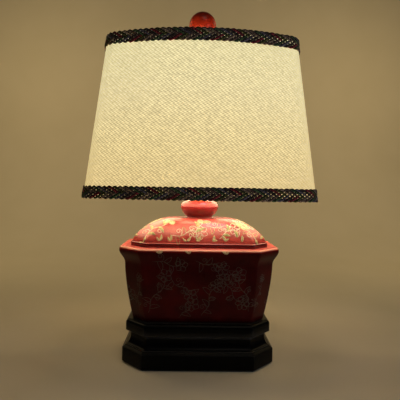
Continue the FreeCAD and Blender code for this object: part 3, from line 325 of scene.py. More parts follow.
def red_glaze(name, light, body, pooled, edge_thinning_highlight, gleam, gloss_coat, levels=()):
    # Red glaze, mottled at two scales; edge_thinning_highlight is how far the edges turn paler, partly
    # thinner glaze and partly painted highlight. Each level is two heights in millimetres, between which the glaze
    # turns to the level's colour (painted light and shade).
    material, tree, shader, place = new_material(name, IOR=1.5, Specular_IOR_Level=gleam, Coat_Weight=gloss_coat,
                                                 Coat_Roughness=0.2)
    drift = add_node(tree, "TexNoise", {"Vector": place, "Scale": 1 / (28 * MM), "Detail": 3.0})
    fleck = add_node(tree, "TexNoise", {"Vector": place, "Scale": 1 / (1.6 * MM), "Detail": 6.0, "Roughness": 0.7})
    both = add_node(tree, "Math", {0: drift, 1: fleck}, operation="ADD")
    half = add_node(tree, "Math", {0: both, 1: 0.5}, operation="MULTIPLY")
    glaze = add_node(tree, "ValToRGB", {"Fac": half}, [(0.36, pooled), (0.5, body), (0.66, light)])
    bend = add_node(tree, "NewGeometry").outputs["Pointiness"]
    # Paler edges: partly thinner glaze, partly a painted highlight.
    thin_edge_and_highlight = add_node(tree, "MapRange", {"Value": bend, "From Min": 0.51, "From Max": 0.58, "To Max": edge_thinning_highlight})
    finish = add_node(tree, "Mix", {"Factor": thin_edge_and_highlight, "A": glaze, "B": linear(light)}, data_type="RGBA")
    height = add_node(tree, "SeparateXYZ", {"Vector": place}).outputs["Z"]
    for start, end, colour in levels:
        share = add_node(tree, "MapRange", {"Value": height, "From Min": start * MM, "From Max": end * MM})
        finish = add_node(tree, "Mix", {"Factor": share, "A": finish, "B": linear(colour)}, data_type="RGBA")
    gloss = add_node(tree, "MapRange", {"Value": drift, "To Min": 0.24, "To Max": 0.36})
    ripple = add_node(tree, "Bump", {"Height": drift, "Strength": 0.25, "Distance": 0.6 * MM})
    plug(tree, shader, {"Base Color": finish, "Roughness": gloss, "Normal": ripple})
    return material


# Painted light on the lip: a pale pink painted highlight along it above a red line, and the rim's top painted a lit
# salmon.
lip_painted_light_levels = ((jar_high.z - 4.4, jar_high.z - 3.2, "#8E2420"), (jar_high.z - 2.9, jar_high.z - 2.0, "#EBA48F"),
              (jar_high.z - 0.3, jar_high.z - 0.05, "#C05550"))
# The body's glaze is a dark, shaded copy of the lid's: painted shade.
body_glaze = red_glaze("red_glaze_shaded_copy", "#640D11", "#52080C", "#3E0508", 0.2, 0.12, 0.0, lip_painted_light_levels)


def jar_inset(rise):
    # How far the outer face stands in from the rim: belly, flare, then the rounded lip.
    if rise <= FLARE_START:
        return NECK_INSET + (FOOT_INSET - NECK_INSET) * (1 - rise / FLARE_START) ** BELLY_POWER
    if rise <= FLARE_START + FLARE_HEIGHT:
        share = (rise - FLARE_START) / FLARE_HEIGHT
        return NECK_INSET * (0.5 + 0.5 * cos(pi * share ** FLARE_POWER))
    share = min(1.0, (rise - JAR_HEIGHT + LIP_HEIGHT) / LIP_HEIGHT)
    return LIP_INSET * (1 - sqrt(1 - share ** 2))


# The wall's (inset, rise, corner radius), from the eased foot up the outside to the lip, over
# the lid's seat and down inside.
rises = [FLARE_START * k / 14 for k in range(1, 15)]
rises += [FLARE_START + FLARE_HEIGHT * k / 14 for k in range(1, 15)]
rises += [JAR_HEIGHT - LIP_HEIGHT + LIP_HEIGHT * sin(pi / 2 * k / 8) for k in range(1, 9)]
wall = [(FOOT_INSET + 1.2, 0.0, 4.0), (FOOT_INSET + 0.3, 0.35, 4.5)]
wall += [(jar_inset(rise), rise, EDGE_ROUND) for rise in rises]
wall += [(inset, JAR_HEIGHT, EDGE_ROUND) for inset in (LIP_INSET + 1.0, SEAT_INSET - 1.0, SEAT_INSET + 1.0)]
wall += [(MOUTH_INSET - ease, JAR_HEIGHT - drop, MOUTH_ROUND)
         for ease, drop in ((1.0, 0.0), (0.3, 0.3), (0.0, 1.0), (0.0, LEDGE))]
inner_top = JAR_HEIGHT - LEDGE - JAR_WALL
for rise in (inner_top + (JAR_FLOOR - inner_top) * k / 8 for k in range(9)):
    wall.append((jar_inset(rise) + JAR_WALL, rise, INNER_ROUND))
rings = cut_corner_rings(jar_high.x, jar_high.y, RIM_CUT,
                         [(inset, jar_low.z + rise, radius, 1.0) for inset, rise, radius in wall])
foot_hole = pipe_hole(rings[0])
floor_hole = [p + Vector((0, 0, JAR_FLOOR)) for p in foot_hole]
points, faces = join_rings([foot_hole] + rings + [floor_hole, foot_hole])
jar = make_object("porcelain_jar", points, faces, body_glaze)
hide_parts("jar")
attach(jar, "lamp_base")


# The lid and its knob
# One porcelain moulding: an upright band, a dome with soft hips that shrinks towards a
# flat crown, and a bowl-shaped knob on a short neck. The same red glaze in a paler, lit copy
# (painted light), with painted shade down the band and on the knob below its widest part.
LID_BAND = 6.3
BAND_EASE = 0.2
BAND_LEDGE = 1.8
LID_RISE = 42.7
LID_TOP_SHARE = 0.44
LID_SIDE_POWER = 1.6
LID_CROWN_POWER = 1.55
LID_WALL = 6.0
HIP_ROUND = 33.0
HIP_MELT = 0.35
DOME_STEPS = 24
SKIRT_DEPTH = 8.0
SKIRT_GAP = 1.5
SKIRT_WALL = 4.0
KNOB_NECK = 20.0
KNOB_RADIUS = 31.0
KNOB_FLAT = 13.0
KNOB_WIDEST = 17.0

lid_half_x = jar_high.x - SEAT_INSET
lid_half_y = jar_high.y - SEAT_INSET
lid_top = jar_high.z + LID_RISE


def lid_shape(step):
    # Share of the lid's outline and height above the rim, from the band up to the crown.
    turn = pi / 2 * step / DOME_STEPS
    share = LID_TOP_SHARE + (1 - LID_TOP_SHARE) * cos(turn) ** (2 / LID_SIDE_POWER)
    return share, LID_BAND + (LID_RISE - LID_BAND) * sin(turn) ** (2 / LID_CROWN_POWER)


# The lid's (trim, rise, corner radius, share of its outline): up the band, over its ledge and
# the dome, whose hips are crisp at the band and melt away towards the crown.
shell = [(0.4, 0.0, EDGE_ROUND - 0.4, 1.0), (0.0, 0.5, EDGE_ROUND, 1.0), (0.0, LID_BAND - 0.7, EDGE_ROUND, 1.0)]
shell += [(trim, LID_BAND + rise, EDGE_ROUND, 1.0)
          for trim, rise in ((BAND_EASE, -BAND_EASE), (0.7, 0.0), (BAND_LEDGE, BAND_EASE))]
for k in range(1, DOME_STEPS + 1):
    share, rise = lid_shape(k)
    ledge_left = BAND_LEDGE * (share - LID_TOP_SHARE) / (1 - LID_TOP_SHARE)
    melt = min(1.0, (1 - share) / HIP_MELT)
    radius = share * (EDGE_ROUND + HIP_ROUND * melt * melt * (3 - 2 * melt))
    shell.append((ledge_left, rise + BAND_EASE * (1 - k / DOME_STEPS), radius, share))
# The same under the dome, down the skirt inside the jar's mouth and up it again.
lining = []
for share, rise in map(lid_shape, range(DOME_STEPS - 2, 2, -2)):
    lining.append((LID_WALL, rise - LID_WALL, MOUTH_ROUND * share, share))
skirt_in = MOUTH_INSET + SKIRT_GAP - SEAT_INSET
lining += [(trim, rise, INNER_ROUND, 1.0)
           for trim, rise in ((skirt_in + SKIRT_WALL, LID_BAND - 1.0), (skirt_in + SKIRT_WALL, -SKIRT_DEPTH),
                              (skirt_in, -SKIRT_DEPTH), (skirt_in, 0.0))]
rings = cut_corner_rings(lid_half_x, lid_half_y, set_in(RIM_CUT, SEAT_INSET),
                         [(trim, jar_high.z + rise, radius, share) for trim, rise, radius, share in shell + lining])
dome, lining = rings[:len(shell)], rings[len(shell):]
crown_hole = pipe_hole(dome[-1])
under_hole = [p - Vector((0, 0, 3 * LID_WALL / 2)) for p in crown_hole]
points, faces = join_rings([dome[0]] + dome + [crown_hole, under_hole] + lining + [dome[0]])


def turned(profile, count=64):
    # A shape of revolution from a (radius, height) profile.
    turns = [2 * pi * k / count for k in range(count)]
    return [[Vector((radius * cos(turn), radius * sin(turn), z)) for turn in turns]
            for radius, z in profile]


def swell(a, b, bulge, steps):
    # A curve from a to b that leans towards the bulge point.
    a, b, c = Vector(a), Vector(b), Vector(bulge)
    return [tuple(a * (1 - t) ** 2 + c * 2 * t * (1 - t) + b * t ** 2)
            for t in (k / steps for k in range(steps + 1))]


# The knob's (radius, height): its foot in the crown, a small fillet, the bowl and its flat top.
knob_top = mm_box("lid")[1].z
widest = lid_top + KNOB_WIDEST
knob_foot = lid_top - 3.0
knob = [(PIPE_HOLE, knob_foot), (KNOB_NECK + 5.5, lid_top - 2.6), (KNOB_NECK + 3.2, lid_top - 0.6)]
knob += swell((KNOB_NECK + 1.2, lid_top + 0.4), (KNOB_NECK + 1.2, lid_top + 2.2), (KNOB_NECK, lid_top + 1.2), 3)
knob += swell((KNOB_NECK + 1.6, lid_top + 2.6), (KNOB_RADIUS, widest), (KNOB_RADIUS - 3.5, lid_top + 6.5), 10)[1:]
knob += swell((KNOB_RADIUS, widest), (KNOB_FLAT, knob_top), (KNOB_RADIUS - 0.6, knob_top), 12)[1:]
knob += [(PIPE_HOLE + 0.6, knob_top - 0.5), (PIPE_HOLE, knob_top - 1.0), (PIPE_HOLE, knob_foot)]
knob_points, knob_faces = join_rings(turned(knob))
faces += [tuple(i + len(points) for i in face) for face in knob_faces]
points += knob_points
# Painted shade: the band under the dome's overhang and the knob from its foot up to its widest part are darker,
# easing to a brighter red at its widest part and over its top.
band_top = jar_high.z + LID_BAND
lid_light_and_shade_levels = ((band_top + 0.1, band_top - 0.6, "#5A0A10"), (lid_top - 0.5, lid_top + 1.0, "#74100F"),
              (lid_top + 10.5, widest + 1.0, "#A82A2A"))
# The lid's glaze is a paler, lit copy of the body's: painted light.
lid_glaze = red_glaze("red_glaze_lit_copy", "#C9635A", "#B8473F", "#942628", 0.4, 0.5, 0.35, lid_light_and_shade_levels)
lid = make_object("porcelain_lid", points, faces, lid_glaze)
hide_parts("lid")
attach(lid, "lamp_base")


# The painted flowers
# Sprays of blossom, leaves and curling stems in raised enamel, brushed over the fired
# glaze and fired again. On the lid the petals are filled in cream and yellow-green; on
# the jar the same flowers are thin pale outlines.
ENAMEL_RISE = 0.35
ENAMEL_EDGE = 0.05
OUTLINE = 1.0
STEM_STEP = 2.0
BLADE_STEPS = 8
CURL_STEPS = 26
FLOWER_HEART = 0.16
CAST_FROM = 260.0
PAINT_TOP = lid_top - 1.0
LONG_SLOPE = 0.62
SHORT_SLOPE = 0.70
SLOPE_MIDDLE = 0.55
JAR_MIDDLE = 0.45
LID_LEAN = radians(44)
LIP_LEAN = radians(30)
LID_FLOWERS = 1.3
LID_LINES = 1.4
JAR_FLOWERS = 1.25
JAR_LINES = 1.1
CORNER_FLOWERS = 0.7
CORNER_LINES = 1.0


def toward(angle):
    # The direction at an angle on a drawing board.
    return Vector((cos(angle), sin(angle)))


def facing(turn):
    # The level direction that one side of the pot faces.
    return Vector((sin(turn), -cos(turn), 0))


class Face:
    # A flat drawing board held in front of one side; points on it are cast onto the pot.
    def __init__(self, pot, centre, turn, lean=0.0):
        self.tree = BVHTree.FromPolygons([v.co / MM for v in pot.data.vertices],
                                         [tuple(f.vertices) for f in pot.data.polygons])
        self.out = Vector((sin(turn) * cos(lean), -cos(turn) * cos(lean), sin(lean)))
        self.right = Vector((cos(turn), sin(turn), 0))
        self.up = self.out.cross(self.right)
        self.centre = Vector(centre)

    def on_pot(self, spot, rise):
        start = self.centre + self.right * spot.x + self.up * spot.y + self.out * CAST_FROM
        hit, normal, _, _ = self.tree.ray_cast(start, -self.out, 2 * CAST_FROM)
        return None if hit is None or hit.z > PAINT_TOP else hit + normal * rise


class Enamel:
    # Gathers strokes and petals into one mesh.
    def __init__(self):
        self.points = []
        self.faces = []

    def patch(self, face, rows, rises):
        # Rows of spots across the stroke, each at its own rise over the glaze.
        spots = [face.on_pot(spot, rise) for row in rows for spot, rise in zip(row, rises)]
        if None in spots:
            return
        wide = len(rises)
        start = len(self.points)
        self.points += spots
        for a in (start + i * wide + j for i in range(len(rows) - 1) for j in range(wide - 1)):
            self.faces.append((a, a + 1, a + wide + 1, a + wide))

    def stroke(self, face, line, width, taper=True):
        # A brush stroke that swells soon after its start and ends in a point.
        rows = []
        count = len(line) - 1
        for i, spot in enumerate(line):
            along = (line[min(i + 1, count)] - line[max(i - 1, 0)]).normalized()
            aside = Vector((-along.y, along.x)) * width / 2
            share = i / count
            if taper:
                aside *= 0.35 + 0.65 * sin(pi * min(share * 1.6 + 0.12, 1 - share * 0.72))
            rows.append([spot - aside, spot, spot + aside])
        self.patch(face, rows, (-ENAMEL_EDGE, ENAMEL_RISE * 0.6, -ENAMEL_EDGE))

    def blade(self, face, base, angle, length, width, bend=0.0, filled=True):
        # A petal or leaf: pointed at its base, fullest past the middle.
        left, middle, right = [], [], []
        for share in (i / BLADE_STEPS for i in range(BLADE_STEPS + 1)):
            turn = angle + bend * (share - 0.3)
            spot = base + toward(turn) * length * share
            across = Vector((-sin(turn), cos(turn))) * width / 2
            across *= sin(pi * share ** 0.8) ** 0.8 if 0 < share < 1 else 0.02
            left.append(spot - across)
            middle.append(spot)
            right.append(spot + across)
        if filled:
            rows = [[a, a.lerp(m, 0.5), m, m.lerp(b, 0.5), b] for a, m, b in zip(left, middle, right)]
            self.patch(face, rows, (-ENAMEL_EDGE, ENAMEL_RISE, ENAMEL_RISE * 0.8, ENAMEL_RISE, -ENAMEL_EDGE))
        else:
            self.stroke(face, left, OUTLINE, taper=False)
            self.stroke(face, right, OUTLINE, taper=False)

    def blossom(self, face, centre, radius, petals, turn, filled=True):
        for k in range(petals):
            angle = turn + 2 * pi * k / petals
            start = centre + toward(angle) * radius * FLOWER_HEART
            self.blade(face, start, angle, radius * (1 - FLOWER_HEART), radius * 4.2 / petals, 0.25, filled)

    def curl(self, face, start, angle, size, way, width):
        # A tendril that winds up on itself.
        line = [start]
        for k in range(CURL_STEPS):
            angle += way * (0.10 + 0.50 * (k / CURL_STEPS) ** 1.3)
            line.append(line[-1] + toward(angle) * size * 0.14)
        self.stroke(face, line, width)


def spray(face, stems, leaves, flowers, course, chance, scale, width, filled):
    # A wavy stem with leaves on alternate sides, tendrils between them and a blossom at its tip.
    # Its course is where it starts on the board, then its heading, its length and its bend.
    x, y, heading, length, bend = course
    line = [Vector((x, y))]
    steps = max(6, round(length / STEM_STEP))
    for k in range(steps):
        heading += bend * cos(2.6 * pi * k / steps) * 3.0 / steps
        line.append(line[-1] + toward(heading) * length / steps)
        if k % 5 == 3:
            side = 1 if (k // 5) % 2 else -1
            size = scale * chance.uniform(9, 13)
            leaves.blade(face, line[-1], heading + side * chance.uniform(0.6, 1.0), size, size * 0.42,
                         side * 0.5, filled)
        if k % 9 == 6:
            side = -1 if (k // 9) % 2 else 1
            stems.curl(face, line[-1], heading + side * 0.7, scale * chance.uniform(5, 7), side, width * 0.8)
    stems.stroke(face, line, width)
    flowers.blossom(face, line[-1] + toward(heading) * scale * 4, scale * chance.uniform(8, 10),
                    chance.choice((5, 6)), chance.uniform(0, 6), filled)


def add_enamel(name, work, colour, pale, deep):
    # Opaque overglaze enamel: the brush, whose marks are about 1.5 mm wide, leaves it thick
    # and thin, and its gloss is low.
    material, tree, shader, place = new_material(colour, Roughness=0.45, IOR=1.5)
    marks, tint = mottle(tree, place, 3, [(0.35, deep), (0.62, pale)], Detail=4.0)
    bumps = add_node(tree, "Bump", {"Height": marks, "Strength": 0.3, "Distance": 0.3 * MM})
    plug(tree, shader, {"Base Color": tint, "Normal": bumps})
    piece = make_object(name, work.points, work.faces, material)
    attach(piece, "lamp_base")


# Four slopes of the lid: its long sides, then its short ones. The sprays start at places
# measured on the board from the middle of that slope. Those that start this far across
# have filled blossoms.
FILLED = (-86, -34, -6, 30)
lid_stems, lid_leaves, lid_flowers, lid_greens = Enamel(), Enamel(), Enamel(), Enamel()
brush = random.Random(11)
long_sprays = ((-86, -18, 0.5, 50, 1.1), (-44, -16, 0.35, 42, -1.2), (-6, -18, 1.1, 34, 1.1),
               (10, 2, 0.1, 40, -1.2), (30, -20, 0.4, 44, 1.3), (88, -20, 2.4, 40, -1.0))
short_sprays = ((-34, -18, 0.5, 34, 1.1), (30, -18, 2.4, 34, -1.1))
slope_z = jar_high.z + LID_RISE * SLOPE_MIDDLE
long_slope = (lid_half_y * LONG_SLOPE, long_sprays, 9)
short_slope = (lid_half_x * SHORT_SLOPE, short_sprays, 4)
for turn, (reach, sprays, tufts) in ((0, long_slope), (pi, long_slope), (pi / 2, short_slope),
                                     (-pi / 2, short_slope)):
    board = Face(lid, facing(turn) * reach + Vector((0, 0, slope_z)), turn, LID_LEAN)
    for course in sprays:
        filled = course[0] in FILLED
        spray(board, lid_stems, lid_greens, lid_flowers if filled else lid_stems, course, brush, LID_FLOWERS,
              LID_LINES, filled)
    # Pairs of small leaves along the slope's lower edge.
    for k in range(tufts):
        foot = Vector(((k - (tufts - 1) / 2) * 21 + brush.uniform(-4, 4), -24))
        lid_leaves.blade(board, foot, brush.uniform(0.3, 2.8), 10, 4.5, 0.4)
        lid_leaves.blade(board, foot, brush.uniform(0.3, 2.8), 8, 3.6, -0.4)
add_enamel("lid_painted_stems", lid_stems, "white_line_enamel", "#E9D8C4", "#CFB094")
add_enamel("lid_painted_blossoms", lid_flowers, "cream_enamel", "#D6C296", "#BCA272")
add_enamel("lid_painted_leaves", lid_greens, "yellow_green_enamel", "#BDB57E", "#949052")
add_enamel("lid_painted_border", lid_leaves, "pale_green_enamel", "#D2C794", "#A69C66")

# The jar's four sides and its four cut corners, in outline.
jar_lines, lip_leaves = Enamel(), Enamel()
middle_z = jar_low.z + JAR_HEIGHT * JAR_MIDDLE
body_sprays = ((-76, -36, 1.0, 62, 1.2), (-44, 20, -0.5, 40, -1.3), (4, -40, 1.3, 50, -1.1),
               (34, 14, -1.0, 44, 1.2), (76, -32, 2.0, 58, -1.2), (64, 34, 3.5, 28, 1.0),
               (-70, 44, -0.3, 40, 1.0), (-6, 46, -0.1, 38, -1.0), (-30, -44, 0.6, 26, 1.0))
for turn, reach, wide in ((0, jar_high.y, 1.0), (pi, jar_high.y, 1.0), (pi / 2, jar_high.x, 0.45),
                          (-pi / 2, jar_high.x, 0.45)):
    board = Face(jar, facing(turn) * reach + Vector((0, 0, middle_z)), turn)
    for x, y, heading, length, bend in body_sprays:
        if abs(x * wide) < 80 and (wide == 1.0 or abs(x) > 20):
            course = (x * wide, y, heading, length * (0.55 + 0.45 * wide), bend)
            spray(board, jar_lines, jar_lines, jar_lines, course, brush, JAR_FLOWERS, JAR_LINES, False)
    lip_board = Face(jar, facing(turn) * reach + Vector((0, 0, jar_high.z - 3)), turn, LIP_LEAN)
    for x, leaves in ((-58, 3), (-16, 2), (38, 3)):
        for k in range(leaves):
            angle = 0.6 + 1.9 * k / (leaves - 1) + brush.uniform(-0.3, 0.3)
            lip_leaves.blade(lip_board, Vector((x * wide, -2.5)), angle, brush.uniform(5, 7), 3.0, 0.3)
for turn in (pi / 4, 3 * pi / 4, -pi / 4, -3 * pi / 4):
    out = facing(turn)
    board = Face(jar, (out.x * jar_high.x, out.y * jar_high.y, middle_z), turn)
    spray(board, jar_lines, jar_lines, jar_lines, (-4, -34, 1.3, 52, 0.9), brush, CORNER_FLOWERS,
          CORNER_LINES, False)
add_enamel("lip_painted_leaves", lip_leaves, "cream_green_enamel", "#E2C9A0", "#BFA172")
add_enamel("jar_painted_lines", jar_lines, "faded_gold_line_enamel", "#70584C", "#4A3832")


# The brass on top of the knob
# Spun and turned yellow brass, lacquered: the check ring, the neck and the bent strap
# that carries the harp. It is bright with fine turning marks and a slightly brown tone.
def brass_finish(name, pale, deep, roughness):
    # Lacquered brass with turning marks about 0.3 mm apart round the lamp's axis, and clouds
    # of tarnish about 9 mm across.
    material, tree, shader, place = new_material(name, Metallic=1.0, Roughness=roughness)
    squash = add_node(tree, "Mapping", {"Vector": place, "Scale": (0.05, 0.05, 1.0)})
    marks = add_node(tree, "TexNoise", {"Vector": squash, "Scale": 1 / (0.3 * MM), "Detail": 3.0})
    rough = add_node(tree, "MapRange", {"Value": marks, "To Min": roughness * 0.7, "To Max": roughness * 1.4})
    tarnish = mottle(tree, place, 9, [(0.35, deep), (0.65, pale)], Detail=5.0)[1]
    plug(tree, shader, {"Base Color": tarnish, "Roughness": rough})
    return material


dress(brass_finish("lacquered_brass", "#D9B25E", "#B58A3C", 0.22), "check_ring", "neck", "harp_saddle",
      "harp_seat", "harp_ferrule_left", "harp_ferrule_right", "socket_cap", "terminal_screws", "centre_contact",
      "switch_shaft", "finial_base", "socket_shell")
dress(brass_finish("brass_plated_wire", "#CBA659", "#A98443", 0.3), "harp_loop")


# The socket's insides and its turn key
# A moulded black phenolic core and key, a pressed fibre sleeve and a drawn aluminium
# liner that the bulb screws into.
def mottled(name, size, stops, noise, colours=("Base Color",), **sockets):
    # A material with colours that vary together in swells about this many millimetres wide.
    material, tree, shader, place = new_material(name, **sockets)
    tone = mottle(tree, place, size, stops, **noise)[1]
    plug(tree, shader, {colour: tone for colour in colours})
    return material


# The resin shows flow lines, and the fibre its pulp.
phenolic = mottled("moulded_phenolic", 4, [(0.35, "#0E0B0A"), (0.7, "#231A16")],
                   {"Detail": 5.0, "Distortion": 1.5}, Roughness=0.25, IOR=1.6)
dress(phenolic, "socket_body", "switch_knob")
fibre = mottled("pressed_fibre", 1.0, [(0.3, "#8A7450"), (0.7, "#B49C72")], {"Detail": 6.0}, Roughness=0.85)
dress(fibre, "shell_insulator")

aluminium, tree, shader, place = new_material("drawn_aluminium", Metallic=1.0, Roughness=0.3)
# Drawing lines about 0.4 mm apart, along the axis.
drawn = add_node(tree, "Mapping", {"Vector": place, "Scale": (1.0, 1.0, 0.05)})
plug(tree, shader, {"Base Color": mottle(tree, drawn, 0.4, [(0.3, "#B4B5B6"), (0.7, "#DADBDC")])[1]})
dress(aluminium, "screw_shell", "bulb_cap")


# The bulb
# A blown glass globe, frosted inside and lit, on its drawn cap with a black glass
# insulator. It is the lamp's light; the shade's lining and cloth add a painted glow of their
# own, which lights the lid and the table too.
BULB_GLOW = 11.0
COIL_GLOW = 40.0

# Frost lets the light through unevenly, and the black glass is swirled.
frosted = mottled("frosted_lit_glass", 12, [(0.3, "#FFD49A"), (0.7, "#FFDDAE")], {}, ("Emission Color",),
                  Base_Color=linear("#FFF4DC"), Roughness=0.35, Emission_Strength=BULB_GLOW)
dress(frosted, "bulb_glass")
black_glass = mottled("black_insulating_glass", 5, [(0.3, "#0B0A12"), (0.7, "#1B1A26")], {"Detail": 4.0},
                      Roughness=0.15)
dress(black_glass, "bulb_insulator")
# The coil runs hotter between its supports than at them.
tungsten = mottled("glowing_tungsten", 3, [(0.3, "#FFAE5C"), (0.7, "#FFD096")], {},
                   ("Base Color", "Emission Color"), Roughness=0.5, Emission_Strength=COIL_GLOW)
dress(tungsten, "bulb_filament")

stem_glass, tree, shader, place = new_material("clear_stem_glass", IOR=1.5, Transmission_Weight=1.0)
# Pulled glass: faint streaks up the stem.
pulled = add_node(tree, "Mapping", {"Vector": place, "Scale": (1.0, 1.0, 0.1)})
streaks, tint = mottle(tree, pulled, 1.5, [(0.3, "#E6EFEA"), (0.7, "#FAFCFB")])
clear = add_node(tree, "MapRange", {"Value": streaks, "To Min": 0.02, "To Max": 0.1})
plug(tree, shader, {"Base Color": tint, "Roughness": clear})
dress(stem_glass, "bulb_stem")


# The shade's frame
# Steel wire, bent and welded, with a white baked enamel that stops it rusting: a top
# hoop with four arms to the washer, and a loose ring in the bottom edge.
white_enamel = mottled("white_enamelled_wire", 6, [(0.3, "#D8D3C6"), (0.7, "#EFEBE0")], {"Detail": 4.0},
                       Roughness=0.4)
dress(white_enamel, "shade_frame", "shade_bottom_ring")


# The shade's stiff lining
# A white plastic film that the cloth is laminated to. From inside it looks bright and
# even: its glow is painted on as emission, standing in for the bulb's light passing through it.
FILM_GLOW = 1.6

film = mottled("film_painted_glow", 20, [(0.3, "#EFE3C4"), (0.7, "#F8EED6")], {"Detail": 3.0},
               ("Base Color", "Emission Color"), Roughness=0.6, Emission_Strength=FILM_GLOW)
dress(film, "shade_liner")


# The shade's cloth
# Coarse plain-woven linen, cream, laminated round the frame and lapped at the back. Its
# glow from the bulb inside is painted on as emission; the crossings where the finer warp lies on top let more light
# through.

# The threads are about 1.7 mm apart. The wefts are drawn at 2.0 mm and the warps at
# 3.0 mm, so that they show.
WARP_APART = 3.0
WEFT_APART = 2.0
SLUB_LENGTH = 30.0
SHADE_BOTTOM_PLAN = (183.0, 106.0, 470.0, 262.0, 32.0)
SHADE_TOP_PLAN = (149.5, 89.0, 357.0, 222.0, 26.0)
EDGE_LIP = 0.6
LAP_WIDTH = 11.0
LAP_RISE = 0.4
CLOTH_AROUND = 420
CLOTH_UP = 62
CLOTH_THICKNESS = 0.9
TURN_IN = 1.4

cloth_low, cloth_high = mm_box("shade_fabric")
shade_low = cloth_low.z - EDGE_LIP
shade_high = cloth_high.z + EDGE_LIP


class Plan:
    # The shade's outline at one height: in each quarter a long arc, a corner arc and a short arc.
    def __init__(self, z, inset):
        share = (z - shade_low) / (shade_high - shade_low)
        half_x, half_y, long_r, short_r, corner_r = [
            low + (high - low) * share - inset for low, high in zip(SHADE_BOTTOM_PLAN, SHADE_TOP_PLAN)]
        long = Vector((0, long_r - half_y))
        short = Vector((half_x - short_r, 0))
        # The corner arc runs smoothly into both, which settles how far its centre lies from theirs.
        a = long_r - corner_r
        b = short_r - corner_r
        span = short - long
        along = (a * a - b * b + span.length_squared) / (2 * span.length)
        unit = span.normalized()
        corner = long + unit * along + Vector((-unit.y, unit.x)) * sqrt(a * a - along * along)
        from_long, from_short = [atan2((corner - centre).y, (corner - centre).x) for centre in (long, short)]
        self.z = z
        self.arcs = [(long, long_r, -pi / 2, long_r * (from_long + pi / 2)),
                     (corner, corner_r, from_long, corner_r * (from_short - from_long)),
                     (short, short_r, from_short, short_r * -from_short)]
        self.length = 4 * sum(arc[-1] for arc in self.arcs)

    def at(self, share):
        # The point at a share of the way round, from the middle of the front towards +X.
        quarter = floor(share * 4) % 4
        local = share * 4 - floor(share * 4)
        reach = (1 - local if quarter % 2 else local) * self.length / 4
        for centre, radius, angle, length in self.arcs[:2]:
            if reach < length:
                break
            reach -= length
        else:
            centre, radius, angle, _ = self.arcs[2]
        x = centre.x + radius * cos(angle + reach / radius)
        y = centre.y + radius * sin(angle + reach / radius)
        return Vector((x if quarter in (0, 1) else -x, y if quarter in (0, 3) else -y, self.z))


# The sheet carries its own flat places in millimetres: how far round and how far up.
linen, tree, shader, _ = new_material("coarse_linen", Roughness=0.9, Sheen_Weight=0.2, Emission_Strength=1.0)
cloth = add_node(tree, "Attribute", attribute_name="cloth").outputs["Vector"]
split = add_node(tree, "SeparateXYZ", {"Vector": cloth})
# Threads wander by about a quarter of a millimetre either way, in bends some 17 mm long.
wander = add_node(tree, "TexNoise", {"Vector": cloth, "Scale": 0.06, "Detail": 3.0})
sway = add_node(tree, "Math", {0: wander, 1: 1.2}, operation="MULTIPLY")
waves = []
for axis, apart in (("X", WARP_APART), ("Y", WEFT_APART)):
    swayed = add_node(tree, "Math", {0: split.outputs[axis], 1: sway}, operation="ADD")
    turns = add_node(tree, "Math", {0: swayed, 1: pi / apart}, operation="MULTIPLY")
    waves.append(add_node(tree, "Math", {0: turns}, operation="SINE"))
# The product of the two waves is above nought where a warp thread lies on top, below where a weft does.
over = add_node(tree, "Math", {0: waves[0], 1: waves[1]}, operation="MULTIPLY")
top_side = add_node(tree, "Math", {0: over, 1: 0.0}, operation="GREATER_THAN")
warp, weft = [add_node(tree, "Math", {0: wave}, operation="ABSOLUTE") for wave in waves]
weave = add_node(tree, "Mix", {"Factor": top_side, "A": weft, "B": warp})
# Thick and thin places along single threads.
slub_maps = []
for scale in ((1 / WARP_APART, 1 / SLUB_LENGTH, 1.0), (1 / SLUB_LENGTH, 1 / WEFT_APART, 1.0)):
    stretched = add_node(tree, "Mapping", {"Vector": cloth, "Scale": scale})
    slub_maps.append(add_node(tree, "TexNoise", {"Vector": stretched, "Scale": 1.0}))
slubs = add_node(tree, "Mix", {"Factor": top_side, "A": slub_maps[1], "B": slub_maps[0]})
yarn = add_node(tree, "ValToRGB", {"Fac": slubs}, [(0.3, "#C9B98A"), (0.55, "#DCCFA6"), (0.75, "#E9DFC0")])
thickness = add_node(tree, "Math", {0: weave, 1: slubs}, operation="MULTIPLY")
threads = add_node(tree, "Bump", {"Height": thickness, "Strength": 0.7, "Distance": 0.5 * MM})
# Painted glow from inside: warmer and deeper low down, paler near the top.
height = add_node(tree, "MapRange", {"Value": split.outputs["Y"], "From Max": shade_high - shade_low})
light = add_node(tree, "ValToRGB", {"Fac": height},
                 [(0.0, "#D6BB80"), (0.3, "#DCC68C"), (0.65, "#E0D09C"), (1.0, "#DDD29F")])
leak = add_node(tree, "MapRange", {"Value": over, "From Min": -1.0, "To Min": 0.56, "To Max": 1.40})
# Knots and open places where a few threads bunch together, about 3.5 mm across, and
# crossings that each let through a little more or less.
bunches = add_node(tree, "TexNoise", {"Vector": cloth, "Scale": 1 / 3.4, "Detail": 1.0, "Roughness": 0.7})
open_places = add_node(tree, "MapRange", {"Value": bunches, "From Min": 0.3, "From Max": 0.7, "To Min": 0.94,
                                          "To Max": 1.06})
crossing = add_node(tree, "VectorMath", {0: cloth, 1: (1 / WARP_APART, 1 / WEFT_APART, 0.0)}, operation="MULTIPLY")
crossing = add_node(tree, "VectorMath", {0: crossing}, operation="FLOOR")
chance = add_node(tree, "TexWhiteNoise", {"Vector": crossing})
uneven = add_node(tree, "MapRange", {"Value": chance, "To Min": 0.84, "To Max": 1.16})
passing = add_node(tree, "Math", {0: leak, 1: open_places}, operation="MULTIPLY")
passing = add_node(tree, "Math", {0: passing, 1: uneven}, operation="MULTIPLY")
lit = add_node(tree, "Mix", {"Factor": 1.0, "A": light, "B": passing}, data_type="RGBA", blend_type="MULTIPLY")
# The emission carries the cloth's painted glow.
plug(tree, shader, {"Base Color": yarn, "Emission Color": lit, "Normal": threads})

